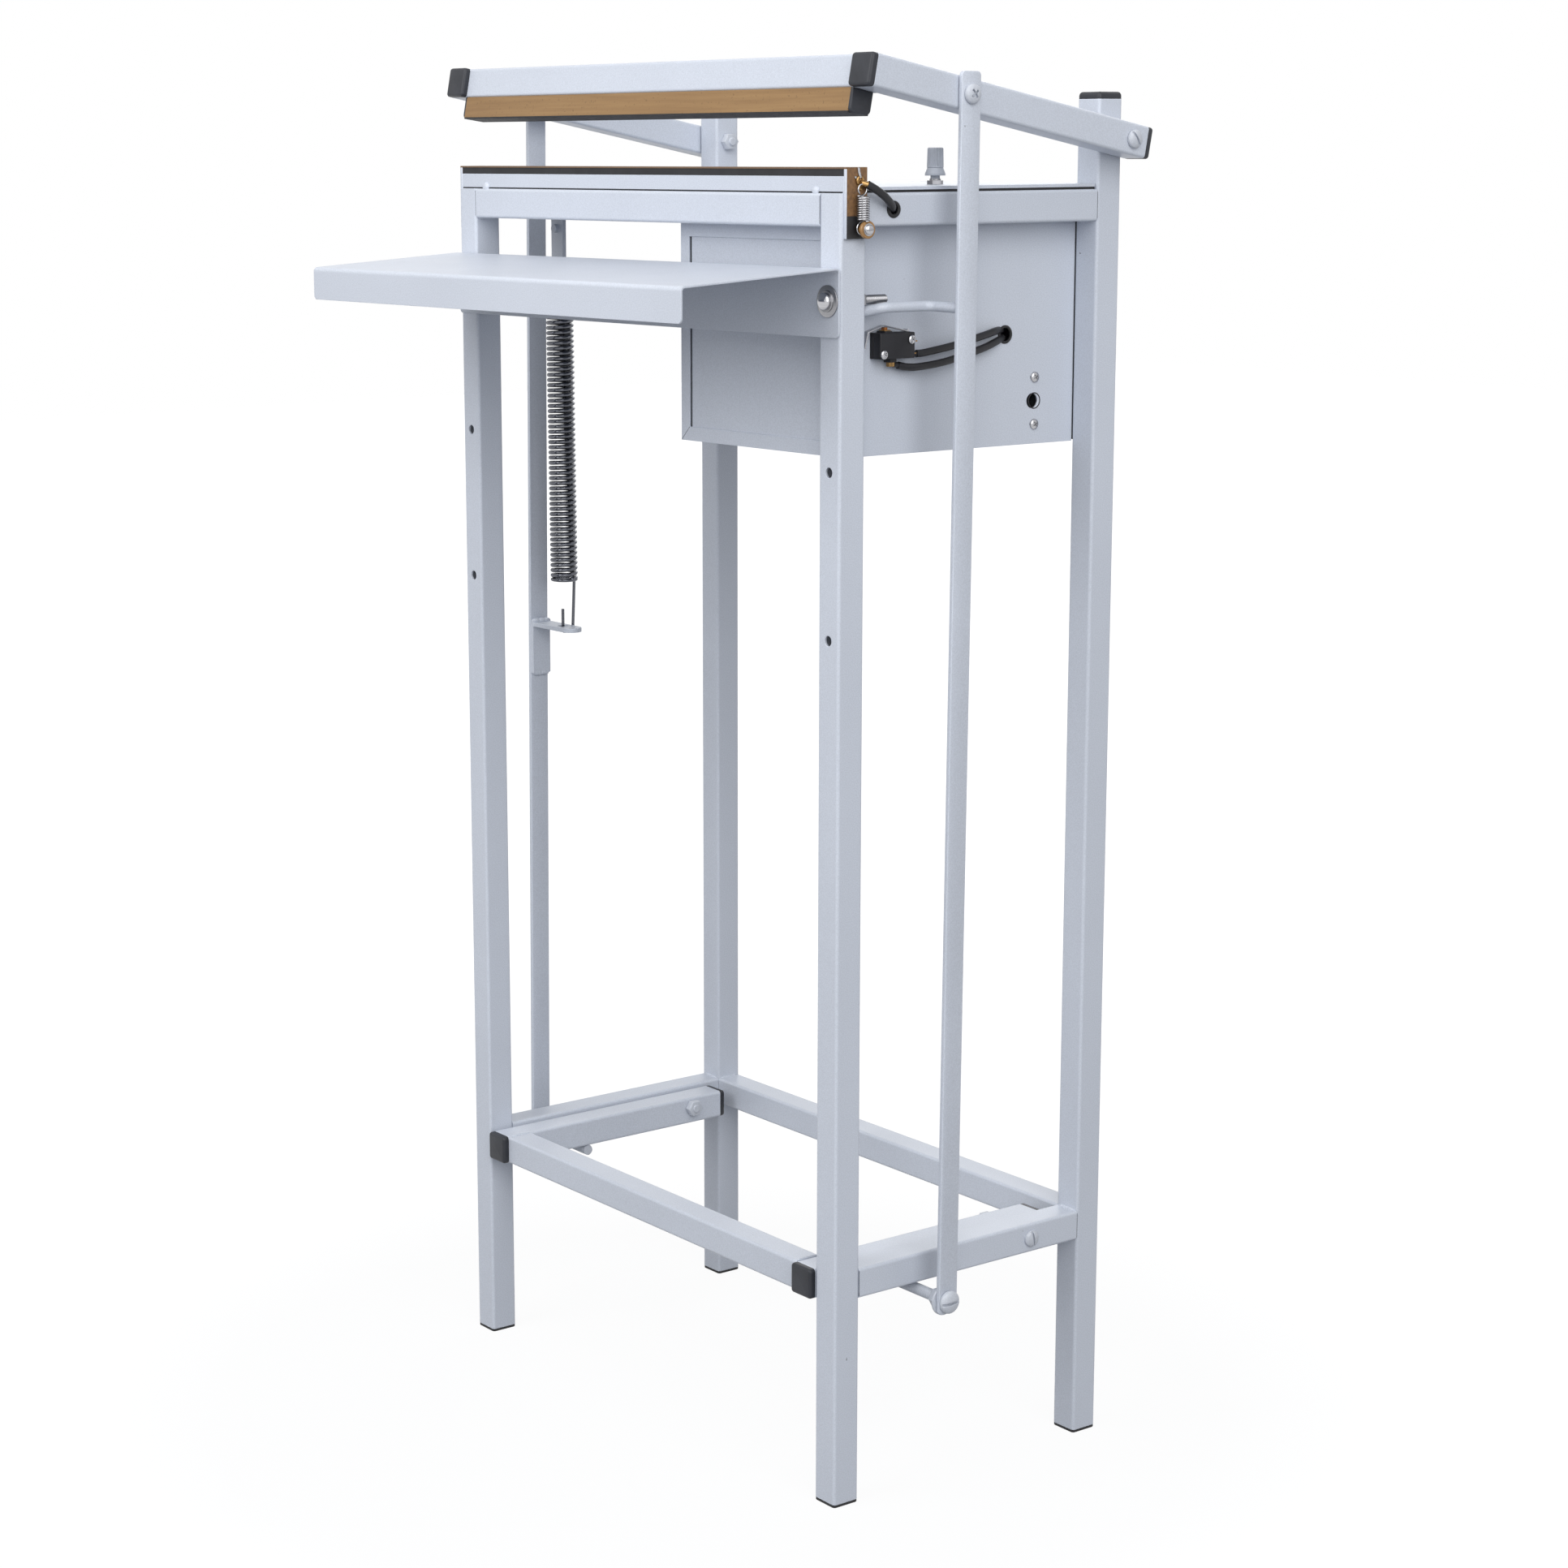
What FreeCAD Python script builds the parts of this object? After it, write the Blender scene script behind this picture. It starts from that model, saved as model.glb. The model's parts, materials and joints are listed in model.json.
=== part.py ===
import FreeCAD, Part
import math
import os
import re
from types import SimpleNamespace

import Sketcher

# Foot pedal sealer: a floor stand of square tube, a pedal that pulls a hinged upper jaw
# down on to a heated lower jaw, a front tray and a timer box. Millimetres, +Z up,
# front towards -Y, origin on the floor under the middle of the whole machine.

Vector = FreeCAD.Vector
doc = FreeCAD.newDocument("FootPedalSealer")

# Driving sizes
SIZES = {
    # square tube and sheet
    "tube_size": 20,
    "tube_wall": 1.5,
    "tube_corner": 2,
    "sheet": 1.2,
    "cap_rim": 2,
    "cap_plug": 8,
    "cap_play": 0.2,
    "seat_gap": 0.3,
    "cap_rise": 4.5,
    "cap_crown": 1.2,
    # stand
    "frame_width": 420,
    "frame_depth": 230,
    "deck_height": 836,
    "rear_leg_rise": 56,
    "foot_rim": 2,
    "lower_rail_base": 138.5,
    "gasket_thick": 1.5,
    "cover_thick": 2,
    "cover_inset": 2,
    # lower jaw
    "jaw_depth": 16,
    "jaw_setback": 2.4,
    "jaw_base_height": 10,
    "strip_height": 4.5,
    "strip_depth": 15,
    "ribbon_width": 5,
    "ribbon_thick": 0.3,
    "cloth_thick": 0.5,
    "cloth_drop": 0.2,
    "end_plate_thick": 2.4,
    "end_plate_drop": 27,
    "terminal_width": 7,
    "terminal_drop": 13,
    "terminal_inset": 4,
    "terminal_setback": 4.2,
    "bush_size": 10,
    "bush_length": 6.5,
    "bush_drop": 21,
    "bush_screw_size": 4,
    "ribbon_spring_size": 7,
    "ribbon_spring_wire": 0.9,
    "ribbon_spring_pitch": 1.9,
    "lead_size": 5,
    "lead_bend": 6,
    "lead_hole_size": 10.5,
    "lead_hole_setback": 21.2,
    # upper jaw
    "arm_gap": 1,
    "arm_setback": 15.5,
    "arm_tail": 11.7,
    "jaw_pivot_rise": 31,
    "arm_rest_angle": 11,
    "arm_closed_angle": 2.53,
    "presser_strip_thick": 1,
    "presser_depth": 16,
    "seal_clearance": 0.3,
    # pull rods
    "rod_reach": 142,
    "rod_width": 15,
    "rod_thick": 3,
    "rod_gap": 1,
    "rod_top_end": 13.5,
    "rod_low_end": 8,
    "rod_bolt_size": 8,
    "rod_bolt_play": 0.5,
    "rod_bolt_setback": 73.5,
    # pedal
    "pedal_gap": 2,
    "pedal_tail_gap": 15,
    "pedal_inset": 1.5,
    "pedal_drop": 2.5,
    "pedal_pivot_setback": 42,
    # pivots and fasteners
    "pivot_bolt_size": 6,
    "pivot_play": 0.05,
    "nut_height": 5,
    "nut_radius": 5.6,
    # tray
    "tray_reach": 234,
    "tray_lip": 21.5,
    "tray_front_drop": 51.5,
    "tray_rise": 7.5,
    "tray_rear_flange": 42,
    "tray_bend": 3,
    "tray_bolt_drop": 64,
    "hole_pitch": 103.5,
    "spare_hole_size": 6.5,
    "tray_bolt_tail": 23.5,
    "tray_washer_size": 19.4,
    # control box and timer
    "box_width": 167.5,
    "box_height": 160.5,
    "box_border": 9,
    "panel_lap": 6,
    "outlet_size": 9.5,
    "outlet_drop": 133,
    "outlet_setback": 35,
    "outlet_screw_offset": 15,
    "knob_inset": 40,
    "knob_back": 106,
    "knob_size": 10,
    "knob_skirt": 13,
    "knob_height": 17.4,
    "knob_clear": 3,
    "knob_skirt_height": 5,
    "knob_rim_height": 1.2,
    "knob_nut_height": 2.5,
    "knob_flutes": 16,
    "knob_shaft_size": 6,
    "pot_size": 17,
    "pot_depth": 9,
    "pot_bushing_size": 7.2,
    "small_screw_size": 3.5,
    "switch_lead_size": 4.6,
    "switch_lead_bend": 5,
    "switch_lead_run": 34,
    "switch_lead_sag": 7.8,
    "switch_lead_hole_size": 11,
    "switch_lead_drop": 90,
    "switch_lead_setback": 130.8,
    "core_inset": 60,
    "core_width": 36,
    "core_depth": 66,
    "core_height": 55,
    "core_play": 0.2,
    "board_stand": 6,
    "board_thick": 1.6,
    "board_length": 110,
    "board_height": 60,
    # microswitch, a standard miniature body
    "switch_length": 27.8,
    "switch_height": 15.9,
    "switch_width": 10.3,
    "switch_drop": 100.7,
    "switch_setback": 19.8,
    "lever_width": 4.2,
    "lever_thick": 0.6,
    "lever_pin_size": 1.6,
    "lever_play": 0.2,
    "lever_pivot_inset": 3,
    "lever_peak": 19,
    "lever_tip": 31.5,
    "lever_slope": 2.5,
    "lever_foot": 40.5,
    "lever_foot_drop": 9.2,
    "plunger_rise": 3.7,
    "plunger_setback": 7.3,
    "plunger_depth": 5,
    "plunger_width": 3,
    "plunger_length": 2.4,
    "switch_hole_size": 2.9,
    "switch_hole_inset": 2.8,
    "switch_hole_run": 22.2,
    "switch_hole_rise": 10.3,
    "switch_tab_step": 5,
    "switch_tab_width": 3.2,
    "switch_tab_length": 5,
    "switch_tab_thick": 0.8,
    "actuator_size": 6.4,
    "actuator_drop": 68.8,
    "actuator_dip": 3.7,
    "actuator_root_drop": 70,
    "actuator_clear": 3.4,
    # return spring
    "spring_size": 20,
    "spring_wire": 2,
    "spring_drop": 63,
    "spring_length": 217,
    "spring_ridges": 28,
    "spring_offset": 1,
    "hanger_width": 14,
    "hanger_thick": 3,
    "hanger_drop": 36,
    "lug_drop": 317.5,
    "lug_reach": 49,
    "lug_leg": 38,
    "lug_hole_size": 8,
    "spring_loop": 6,
    "hook_radius": 4.75,
    "hook_seat": 1.5,
    "hook_tip": 9,
    "rod_washer_size": 20,
    "rod_washer_thick": 1.6,
}

# Places worked out from the sizes
PLACES = {
    "leg_outer": "frame_width / 2",
    "leg_inner": "leg_outer - tube_size",
    "leg_middle": "leg_outer - tube_size / 2",
    "bore_wide": "tube_size - 2 * tube_wall",
    "rear_reach": "frame_depth / 2 - tube_size / 2 + (arm_tail + cap_rise) * cos(arm_rest_angle)"
                  " + tube_size / 2 * sin(arm_rest_angle)",
    "mid_depth": "(tray_reach - rear_reach) / 2",
    "front_face": "mid_depth - frame_depth / 2",
    "rear_face": "mid_depth + frame_depth / 2",
    "front_leg_back": "front_face + tube_size",
    "rear_leg_front": "rear_face - tube_size",
    "front_leg_y": "front_face + tube_size / 2",
    "rear_leg_y": "rear_face - tube_size / 2",
    "inner_depth": "frame_depth - 2 * tube_size",
    "inner_width": "frame_width - 2 * tube_size",
    "rail_base": "deck_height - tube_size",
    "rear_leg_top": "deck_height + rear_leg_rise",
    "top_rail_z": "deck_height - tube_size / 2",
    "lower_rail_z": "lower_rail_base + tube_size / 2",
    "cover_base": "deck_height + gasket_thick",
    "cover_top": "cover_base + cover_thick",
    "jaw_pivot_height": "deck_height + jaw_pivot_rise",
    "arm_reach": "frame_depth - arm_setback",
    "arm_inner": "leg_outer + arm_gap",
    "arm_middle": "arm_inner + tube_size / 2",
    "arm_outer": "arm_inner + tube_size",
    "rod_inner": "arm_outer + rod_gap",
    "rod_outer": "rod_inner + rod_thick",
    "rod_pin_y": "rear_leg_y - rod_reach * cos(arm_rest_angle)",
    "rod_pin_z": "jaw_pivot_height + rod_reach * sin(arm_rest_angle)",
    "rod_bolt_y": "front_face + rod_bolt_setback",
    "pedal_base": "lower_rail_base - pedal_drop",
    "pedal_z": "pedal_base + tube_size / 2",
    "rod_bolt_z": "pedal_base - rod_bolt_size / 2",
    "rod_rise": "rod_pin_z - rod_bolt_z",
    "rod_run": "rod_pin_y - rod_bolt_y",
    "rod_length": "sqrt(rod_rise * rod_rise + rod_run * rod_run)",
    "rod_lean": "rod_run / rod_rise * 180 / 3.14159265",
    "pedal_outer": "leg_inner - pedal_gap",
    "pedal_inner": "pedal_outer - tube_size",
    "pedal_middle": "pedal_outer - tube_size / 2",
    "pedal_front": "front_face + pedal_inset",
    "pedal_length": "rear_leg_front - pedal_tail_gap - pedal_front",
    "pedal_pivot_y": "rear_leg_front - pedal_pivot_setback",
    "jaw_front": "front_face + jaw_setback",
    "jaw_middle_y": "jaw_front + jaw_depth / 2",
    "strip_base": "deck_height + jaw_base_height",
    "strip_top": "strip_base + strip_height",
    "jaw_top": "strip_top + ribbon_thick + cloth_thick",
    "plate_outer": "leg_outer + end_plate_thick",
    "tray_bolt_height": "deck_height - tray_bolt_drop",
    "tray_top_front": "deck_height - tray_front_drop",
    "tray_top_rear": "tray_top_front + tray_rise",
    "tray_front": "mid_depth - tray_reach",
    "box_left": "leg_inner - box_width",
    "box_base": "deck_height - box_height",
    "outlet_height": "deck_height - outlet_drop",
    "outlet_y": "rear_leg_front - outlet_setback",
    "knob_x": "leg_inner - knob_inset",
    "knob_y": "front_leg_back + knob_back",
    "switch_y": "front_leg_back + switch_setback",
    "switch_base": "deck_height - switch_drop",
    "switch_top": "switch_base + switch_height",
    "switch_lead_height": "deck_height - switch_lead_drop",
    "switch_lead_hole_y": "front_leg_back + switch_lead_setback",
    "plunger_x": "leg_inner + switch_width / 2",
    "plunger_y": "switch_y + plunger_setback",
    "lever_pivot_y": "switch_y + switch_length - lever_pivot_inset",
    "lever_pivot_z": "switch_top + lever_play + lever_pin_size / 2",
    "box_middle_y": "front_leg_back + inner_depth / 2",
    "terminal_y": "jaw_middle_y + terminal_setback",
    "terminal_top": "jaw_top - terminal_inset",
    "clip_pin_z": "terminal_top - terminal_drop + 1",
    "bush_y": "terminal_y",
    "bush_z": "deck_height - bush_drop",
    "ribbon_spring_x": "plate_outer + ribbon_spring_size / 2 + seat_gap",
    "lead_hole_y": "front_leg_back + lead_hole_setback",
    "lead_hole_z": "top_rail_z",
    "spring_x": "leg_middle + spring_offset",
    "spring_top": "deck_height - spring_drop",
    "spring_base": "spring_top - spring_length",
    "lug_height": "deck_height - lug_drop",
    "spring_y": "rod_bolt_y + rod_run * (lug_height - rod_bolt_z) / rod_rise",
    "lug_top": "lug_height + rod_thick",
    "actuator_height": "deck_height - actuator_drop",
    "actuator_root": "deck_height - actuator_root_drop",
    "actuator_root_y": "rod_bolt_y + rod_run * (actuator_root - rod_bolt_z) / rod_rise",
}


def fill_sheet(name, cells):
    """Write one alias per row, with its name beside it."""
    sheet = doc.addObject("Spreadsheet::Sheet", name)
    for row, (alias, content) in enumerate(cells.items(), start=1):
        sheet.set(f"A{row}", alias)
        sheet.set(f"B{row}", content)
        sheet.setAlias(f"B{row}", alias)
    return sheet


OWNER = {**dict.fromkeys(SIZES, "Sizes."), **dict.fromkeys(PLACES, "Places.")}


def formula(text):
    """Point each plain name in a formula at the sheet that holds it."""
    return re.sub(r"[a-z]\w+", lambda word: OWNER.get(word.group(0), "") + word.group(0), str(text))


sizes_sheet = fill_sheet("Sizes", {alias: str(number) for alias, number in SIZES.items()})
places_sheet = fill_sheet("Places", {alias: "=" + formula(text) for alias, text in PLACES.items()})
doc.recompute()
v = SimpleNamespace()
for alias in SIZES:
    setattr(v, alias, float(sizes_sheet.get(alias)))
for alias in PLACES:
    setattr(v, alias, float(places_sheet.get(alias)))

UP = ()
DOWN = (("X", "180"),)
ALONG_X = (("Y", "90"),)
FORWARD = (("X", "90"),)
BACKWARD = (("X", "-90"),)
ARM_FORWARD = (("X", "90 - arm_rest_angle"),)
ARM_BACKWARD = (("X", "-90 - arm_rest_angle"),)
ARM_ACROSS = (("X", "-arm_rest_angle"), ("Y", "90"))
AXES = {"X": "vector(1; 0; 0)", "Y": "vector(0; 1; 0)", "Z": "vector(0; 0; 1)"}


def place(item, at, turns=UP):
    """Bind the whole placement to formulas for a point and a chain of turns."""
    spin = " * ".join(f"rotation({AXES[axis]}; {formula(angle)})" for axis, angle in turns)
    point = "; ".join(formula(part) for part in at)
    item.setExpression("Placement",
                       f"placement(vector({point}); {spin or 'rotation(vector(0; 0; 1); 0)'})")
    return item


def bind(item, **formulas):
    for name, text in formulas.items():
        item.setExpression(name, formula(text))
    return item


def box(label, low, extent, turns=UP):
    item = doc.addObject("Part::Box", label)
    bind(item, Length=extent[0], Width=extent[1], Height=extent[2])
    return place(item, low, turns)


def rod(label, radius, length, at, turns=UP):
    item = doc.addObject("Part::Cylinder", label)
    bind(item, Radius=radius, Height=length)
    return place(item, at, turns)


def fuse(label, items):
    item = doc.addObject("Part::MultiFuse", label)
    item.Shapes = items
    return item


def cut(label, base, tools):
    tool = tools[0]
    if len(tools) > 1:
        tool = fuse(label + "_cutter", tools)
    item = doc.addObject("Part::Cut", label)
    item.Base = base
    item.Tool = tool
    return item


def group(label, items):
    item = doc.addObject("Part::Compound", label)
    item.Links = items
    return item


def mirrored(label, source):
    """The same piece on the other side of the machine."""
    item = doc.addObject("Part::Mirroring", label)
    item.Source = source
    item.Normal = Vector(1, 0, 0)
    return item


def both_sides(label, right):
    return group(label, [right, mirrored(right.Name + "_left", right)])


def feature(label, shape):
    item = doc.addObject("Part::Feature", label)
    item.Shape = shape
    return item


def origin_plane(body, role):
    return [entry for entry in body.Origin.OriginFeatures if entry.Role == role][0]


def new_sketch(body, name, role):
    sketch = body.newObject("Sketcher::SketchObject", name)
    sketch.AttachmentSupport = [(origin_plane(body, role), "")]
    sketch.MapMode = "FlatFace"
    return sketch


def name_constraint(sketch, name, constraint, text):
    index = sketch.addConstraint(constraint)
    sketch.renameConstraint(index, name)
    sketch.setExpression("Constraints." + name, formula(text))


def rounded_square(sketch, tag, half, corner, half_text, corner_text):
    """A square with round corners about the sketch's origin: four lines and four tangent arcs."""
    first = len(sketch.Geometry)
    flat = half - corner
    normal = Vector(0, 0, 1)
    outline = []
    for side in range(4):
        turn = side * math.pi / 2
        spin = FreeCAD.Rotation(normal, math.degrees(turn))
        start = spin.multVec(Vector(-flat, -half, 0))
        end = spin.multVec(Vector(flat, -half, 0))
        centre = spin.multVec(Vector(flat, -flat, 0))
        outline.append(Part.LineSegment(start, end))
        outline.append(Part.ArcOfCircle(Part.Circle(centre, normal, corner), turn - math.pi / 2, turn))
    sketch.addGeometry(outline, False)
    rules = [Sketcher.Constraint("Tangent", first + k, 2, first + (k + 1) % 8, 1) for k in range(8)]
    rules += [Sketcher.Constraint("Horizontal", first + k) for k in (0, 4)]
    rules += [Sketcher.Constraint("Vertical", first + k) for k in (2, 6)]
    rules += [Sketcher.Constraint("Equal", first + 1, first + k) for k in (3, 5, 7)]
    sketch.addConstraint(rules)
    name_constraint(sketch, tag + "corner", Sketcher.Constraint("Radius", first + 1, corner), corner_text)
    reaches = {
        "low": ("DistanceY", first, 1, -1, 1),
        "high": ("DistanceY", -1, 1, first + 4, 1),
        "right": ("DistanceX", -1, 1, first + 2, 1),
        "left": ("DistanceX", first + 6, 1, -1, 1),
    }
    for side, (kind, *ends) in reaches.items():
        name_constraint(sketch, tag + side, Sketcher.Constraint(kind, *ends, half), half_text)


def tube(label, length, at, turns):
    """A run of square tube that starts with its middle at a point."""
    body = doc.addObject("PartDesign::Body", label)
    section = new_sketch(body, label + "_section", "XY_Plane")
    rounded_square(section, "outer_", v.tube_size / 2, v.tube_corner, "tube_size / 2", "tube_corner")
    rounded_square(section, "bore_", v.tube_size / 2 - v.tube_wall, v.tube_corner - v.tube_wall,
                   "tube_size / 2 - tube_wall", "tube_corner - tube_wall")
    run = body.newObject("PartDesign::Pad", label + "_run")
    run.Profile = section
    bind(run, Length=length)
    return place(body, at, turns)


def top_face(shape):
    """Name of the flat face that lies highest along the local Z axis."""
    heights = [face.CenterOfMass.z for face in shape.Faces]
    return f"Face{heights.index(max(heights)) + 1}"


def cap(label, rise, at, turns):
    """A pressed-in plastic cap: a crowned rim on the tube's end and a plug in its bore."""
    body = doc.addObject("PartDesign::Body", label)
    rim_outline = new_sketch(body, label + "_rim_outline", "XY_Plane")
    rounded_square(rim_outline, "rim_", v.tube_size / 2, v.tube_corner, "tube_size / 2", "tube_corner")
    rim = body.newObject("PartDesign::Pad", label + "_rim")
    rim.Profile = rim_outline
    bind(rim, Length=rise)
    plug_outline = new_sketch(body, label + "_plug_outline", "XY_Plane")
    rounded_square(plug_outline, "plug_", v.bore_wide / 2 - v.cap_play, v.tube_corner - v.tube_wall,
                   "bore_wide / 2 - cap_play", "tube_corner - tube_wall")
    plug = body.newObject("PartDesign::Pad", label + "_plug")
    plug.Profile = plug_outline
    plug.Reversed = True
    bind(plug, Length="cap_plug")
    doc.recompute()
    crown = body.newObject("PartDesign::Chamfer", label + "_crown")
    crown.Base = (plug, [top_face(plug.Shape)])
    bind(crown, Size="cap_crown")
    body.Tip = crown
    return place(body, at, turns)


def flat_bar(label, length, at, turns, low_hole, top_hole):
    """A flat bar with round ends and a hole near each end, its low hole at a point."""
    body = doc.addObject("PartDesign::Body", label)
    sketch = new_sketch(body, label + "_outline", "YZ_Plane")
    half = v.rod_width / 2
    low = half - v.rod_low_end
    high = v.rod_length + v.rod_top_end - half
    normal = Vector(0, 0, 1)
    sketch.addGeometry([
        Part.LineSegment(Vector(half, low, 0), Vector(half, high, 0)),
        Part.ArcOfCircle(Part.Circle(Vector(0, high, 0), normal, half), 0, math.pi),
        Part.LineSegment(Vector(-half, high, 0), Vector(-half, low, 0)),
        Part.ArcOfCircle(Part.Circle(Vector(0, low, 0), normal, half), math.pi, 2 * math.pi),
        Part.Circle(Vector(0, 0, 0), normal, v.rod_bolt_size / 2),
        Part.Circle(Vector(0, v.rod_length, 0), normal, v.pivot_bolt_size / 2),
    ], False)
    rules = [Sketcher.Constraint("Tangent", k, 2, (k + 1) % 4, 1) for k in range(4)]
    rules += [Sketcher.Constraint("Vertical", 0), Sketcher.Constraint("Coincident", 4, 3, -1, 1)]
    rules += [Sketcher.Constraint("PointOnObject", k, 3, -2) for k in (1, 3, 5)]
    sketch.addConstraint(rules)
    named = {
        "end_radius": (("Radius", 1, half), "rod_width / 2"),
        "low_end": (("DistanceY", 3, 3, -1, 1, -low), "rod_low_end - rod_width / 2"),
        "top_end": (("DistanceY", -1, 1, 1, 3, high), "rod_length + rod_top_end - rod_width / 2"),
        "hole_rise": (("DistanceY", -1, 1, 5, 3, v.rod_length), length),
        "low_hole": (("Radius", 4, v.rod_bolt_size / 2), low_hole),
        "top_hole": (("Radius", 5, v.pivot_bolt_size / 2), top_hole),
    }
    for name, (rule, text) in named.items():
        name_constraint(sketch, name, Sketcher.Constraint(*rule), text)
    plate = body.newObject("PartDesign::Pad", label + "_plate")
    plate.Profile = sketch
    bind(plate, Length="rod_thick")
    return place(body, at, turns)


def domed(label, disc):
    """Dome a disc by rounding the rim of its outer face."""
    doc.recompute()
    rims = [(edge.CenterOfMass.z, number) for number, edge in enumerate(disc.Shape.Edges, start=1)]
    radius = disc.Height.Value * 0.7
    item = doc.addObject("Part::Fillet", label)
    item.Base = disc
    item.Edges = [(max(rims)[1], radius, radius)]
    return item


def fastener(label, shank, head, at, turns, washer=None, nut=None):
    """A bolt whose head points outwards along local Z and whose seat is at a point.

    shank is (radius, length), head (radius, height), washer (radius, height)
    and nut (radius, height, distance from the seat to the nut's near face).
    """
    seat = washer[1] if washer else "0"
    bits = [rod(label + "_shank", shank[0], f"{shank[1]} + {seat}", ("0", "0", f"-({shank[1]})"))]
    disc = rod(label + "_disc", head[0], head[1], ("0", "0", "0"))
    lifted = group(label + "_head", [domed(label + "_dome", disc)])
    bits.append(place(lifted, ("0", "0", seat)))
    if washer:
        bits.append(rod(label + "_washer", washer[0], washer[1], ("0", "0", "0")))
    if nut:
        hexagon = doc.addObject("Part::Prism", label + "_nut")
        hexagon.Polygon = 6
        bind(hexagon, Circumradius=nut[0], Height=nut[1])
        bits.append(place(hexagon, ("0", "0", f"-({nut[2]}) - ({nut[1]})")))
    return place(fuse(label, bits), at, turns)


def rounded_path(points, bend):
    """Straight runs joined by tangent arcs of one radius."""
    edges = []
    start = points[0]
    for before, corner, after in zip(points, points[1:], points[2:]):
        inward = (before - corner).normalize()
        outward = (after - corner).normalize()
        half_turn = inward.getAngle(outward) / 2
        back = bend / math.tan(half_turn)
        middle_way = (inward + outward).normalize()
        near = corner + inward * back
        far = corner + outward * back
        middle = corner + middle_way * (bend / math.sin(half_turn) - bend)
        edges.append(Part.LineSegment(start, near).toShape())
        edges.append(Part.Arc(near, middle, far).toShape())
        start = far
    edges.append(Part.LineSegment(start, points[-1]).toShape())
    return Part.Wire(edges)


def swept(path, radius):
    """A round bar along a path."""
    start = path.Edges[0]
    direction = start.tangentAt(start.FirstParameter)
    ring = Part.Wire(Part.Circle(path.Vertexes[0].Point, direction, radius).toShape())
    return path.makePipeShell([ring], True, False)


def extruded(outline, start, depth):
    """A flat outline of (y, z) points, drawn at x = start and pushed along +X."""
    points = [Vector(start, y, z) for y, z in outline]
    return Part.Face(Part.makePolygon(points + points[:1])).extrude(Vector(depth, 0, 0))


nodes = []


def keep(*items):
    nodes.extend(items)


# Legs, with the spare tray holes in the front pair
leg_holes = []
for step in range(3):
    height = f"tray_bolt_height - {step} * hole_pitch"
    leg_holes.append(rod(f"leg_hole_{step}", "spare_hole_size / 2", "tube_size + 2",
                         ("leg_middle", "front_face - 1", height), BACKWARD))
front_leg_blank = tube("front_leg_blank", "deck_height - foot_rim",
                       ("leg_middle", "front_leg_y", "foot_rim"), UP)
front_right_leg = cut("front_right_leg", front_leg_blank, leg_holes)
rear_leg_blank = tube("rear_leg_blank", "rear_leg_top - foot_rim",
                      ("leg_middle", "rear_leg_y", "foot_rim"), UP)
jaw_pivot_hole = rod("jaw_pivot_hole", "pivot_bolt_size / 2 + pivot_play", "tube_size + 2",
                     ("leg_inner - 1", "rear_leg_y", "jaw_pivot_height"), ALONG_X)
rear_right_leg = cut("rear_right_leg", rear_leg_blank, [jaw_pivot_hole])
keep(front_right_leg, mirrored("front_left_leg", front_right_leg))
keep(rear_right_leg, mirrored("rear_left_leg", rear_right_leg))

front_foot = cap("front_foot", "foot_rim", ("leg_middle", "front_leg_y", "foot_rim"), DOWN)
rear_foot = cap("rear_foot", "foot_rim", ("leg_middle", "rear_leg_y", "foot_rim"), DOWN)
keep(group("leg_feet", [both_sides("front_feet", front_foot), both_sides("rear_feet", rear_foot)]))
leg_cap = cap("rear_leg_cap", "cap_rise", ("leg_middle", "rear_leg_y", "rear_leg_top"), UP)
keep(both_sides("rear_leg_caps", leg_cap))

# Rails
keep(tube("top_front_rail", "inner_width", ("-leg_inner", "front_leg_y", "top_rail_z"), ALONG_X))
keep(tube("top_rear_rail", "inner_width", ("-leg_inner", "rear_leg_y", "top_rail_z"), ALONG_X))
keep(tube("lower_rear_rail", "inner_width", ("-leg_inner", "rear_leg_y", "lower_rail_z"), ALONG_X))
top_rail_blank = tube("top_rail_blank", "inner_depth", ("leg_middle", "front_leg_back", "top_rail_z"),
                      BACKWARD)
lead_hole = rod("lead_hole", "lead_hole_size / 2", "tube_wall + 2",
                ("leg_outer - tube_wall - 1", "lead_hole_y", "lead_hole_z"), ALONG_X)
top_right_rail = cut("top_right_rail", top_rail_blank, [lead_hole])
keep(top_right_rail, mirrored("top_left_rail", top_right_rail))
lower_rail_blank = tube("lower_rail_blank", "inner_depth",
                        ("leg_middle", "front_leg_back", "lower_rail_z"), BACKWARD)
pedal_pivot_hole = rod("pedal_pivot_hole", "pivot_bolt_size / 2 + pivot_play", "tube_size + 2",
                       ("leg_inner - 1", "pedal_pivot_y", "lower_rail_z"), ALONG_X)
lower_right_rail = cut("lower_right_rail", lower_rail_blank, [pedal_pivot_hole])
keep(lower_right_rail, mirrored("lower_left_rail", lower_right_rail))

# Deck: a foam gasket on the rails and the cover sheet on it, notched round the rear legs
deck_front = "jaw_front + jaw_depth + seat_gap"
deck_depth = "rear_face - cover_inset - (jaw_front + jaw_depth + seat_gap)"
cover_blank = box("cover_blank", ("cover_inset - leg_outer", deck_front, "cover_base"),
                  ("frame_width - 2 * cover_inset", deck_depth, "cover_thick"))
notches = []
for side, low_x in (("right", "leg_inner - 0.5"), ("left", "-leg_outer - 1")):
    notches.append(box(f"leg_notch_{side}", (low_x, "rear_leg_front - 0.5", "deck_height - 1"),
                       ("tube_size + 1.5", "tube_size + 2", "gasket_thick + cover_thick + 2")))
knob_hole = rod("knob_hole", "pot_bushing_size / 2 + 0.1", "gasket_thick + cover_thick + 2",
                ("knob_x", "knob_y", "deck_height - 1"))
keep(cut("top_cover", cover_blank, notches + [knob_hole]))
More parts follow.
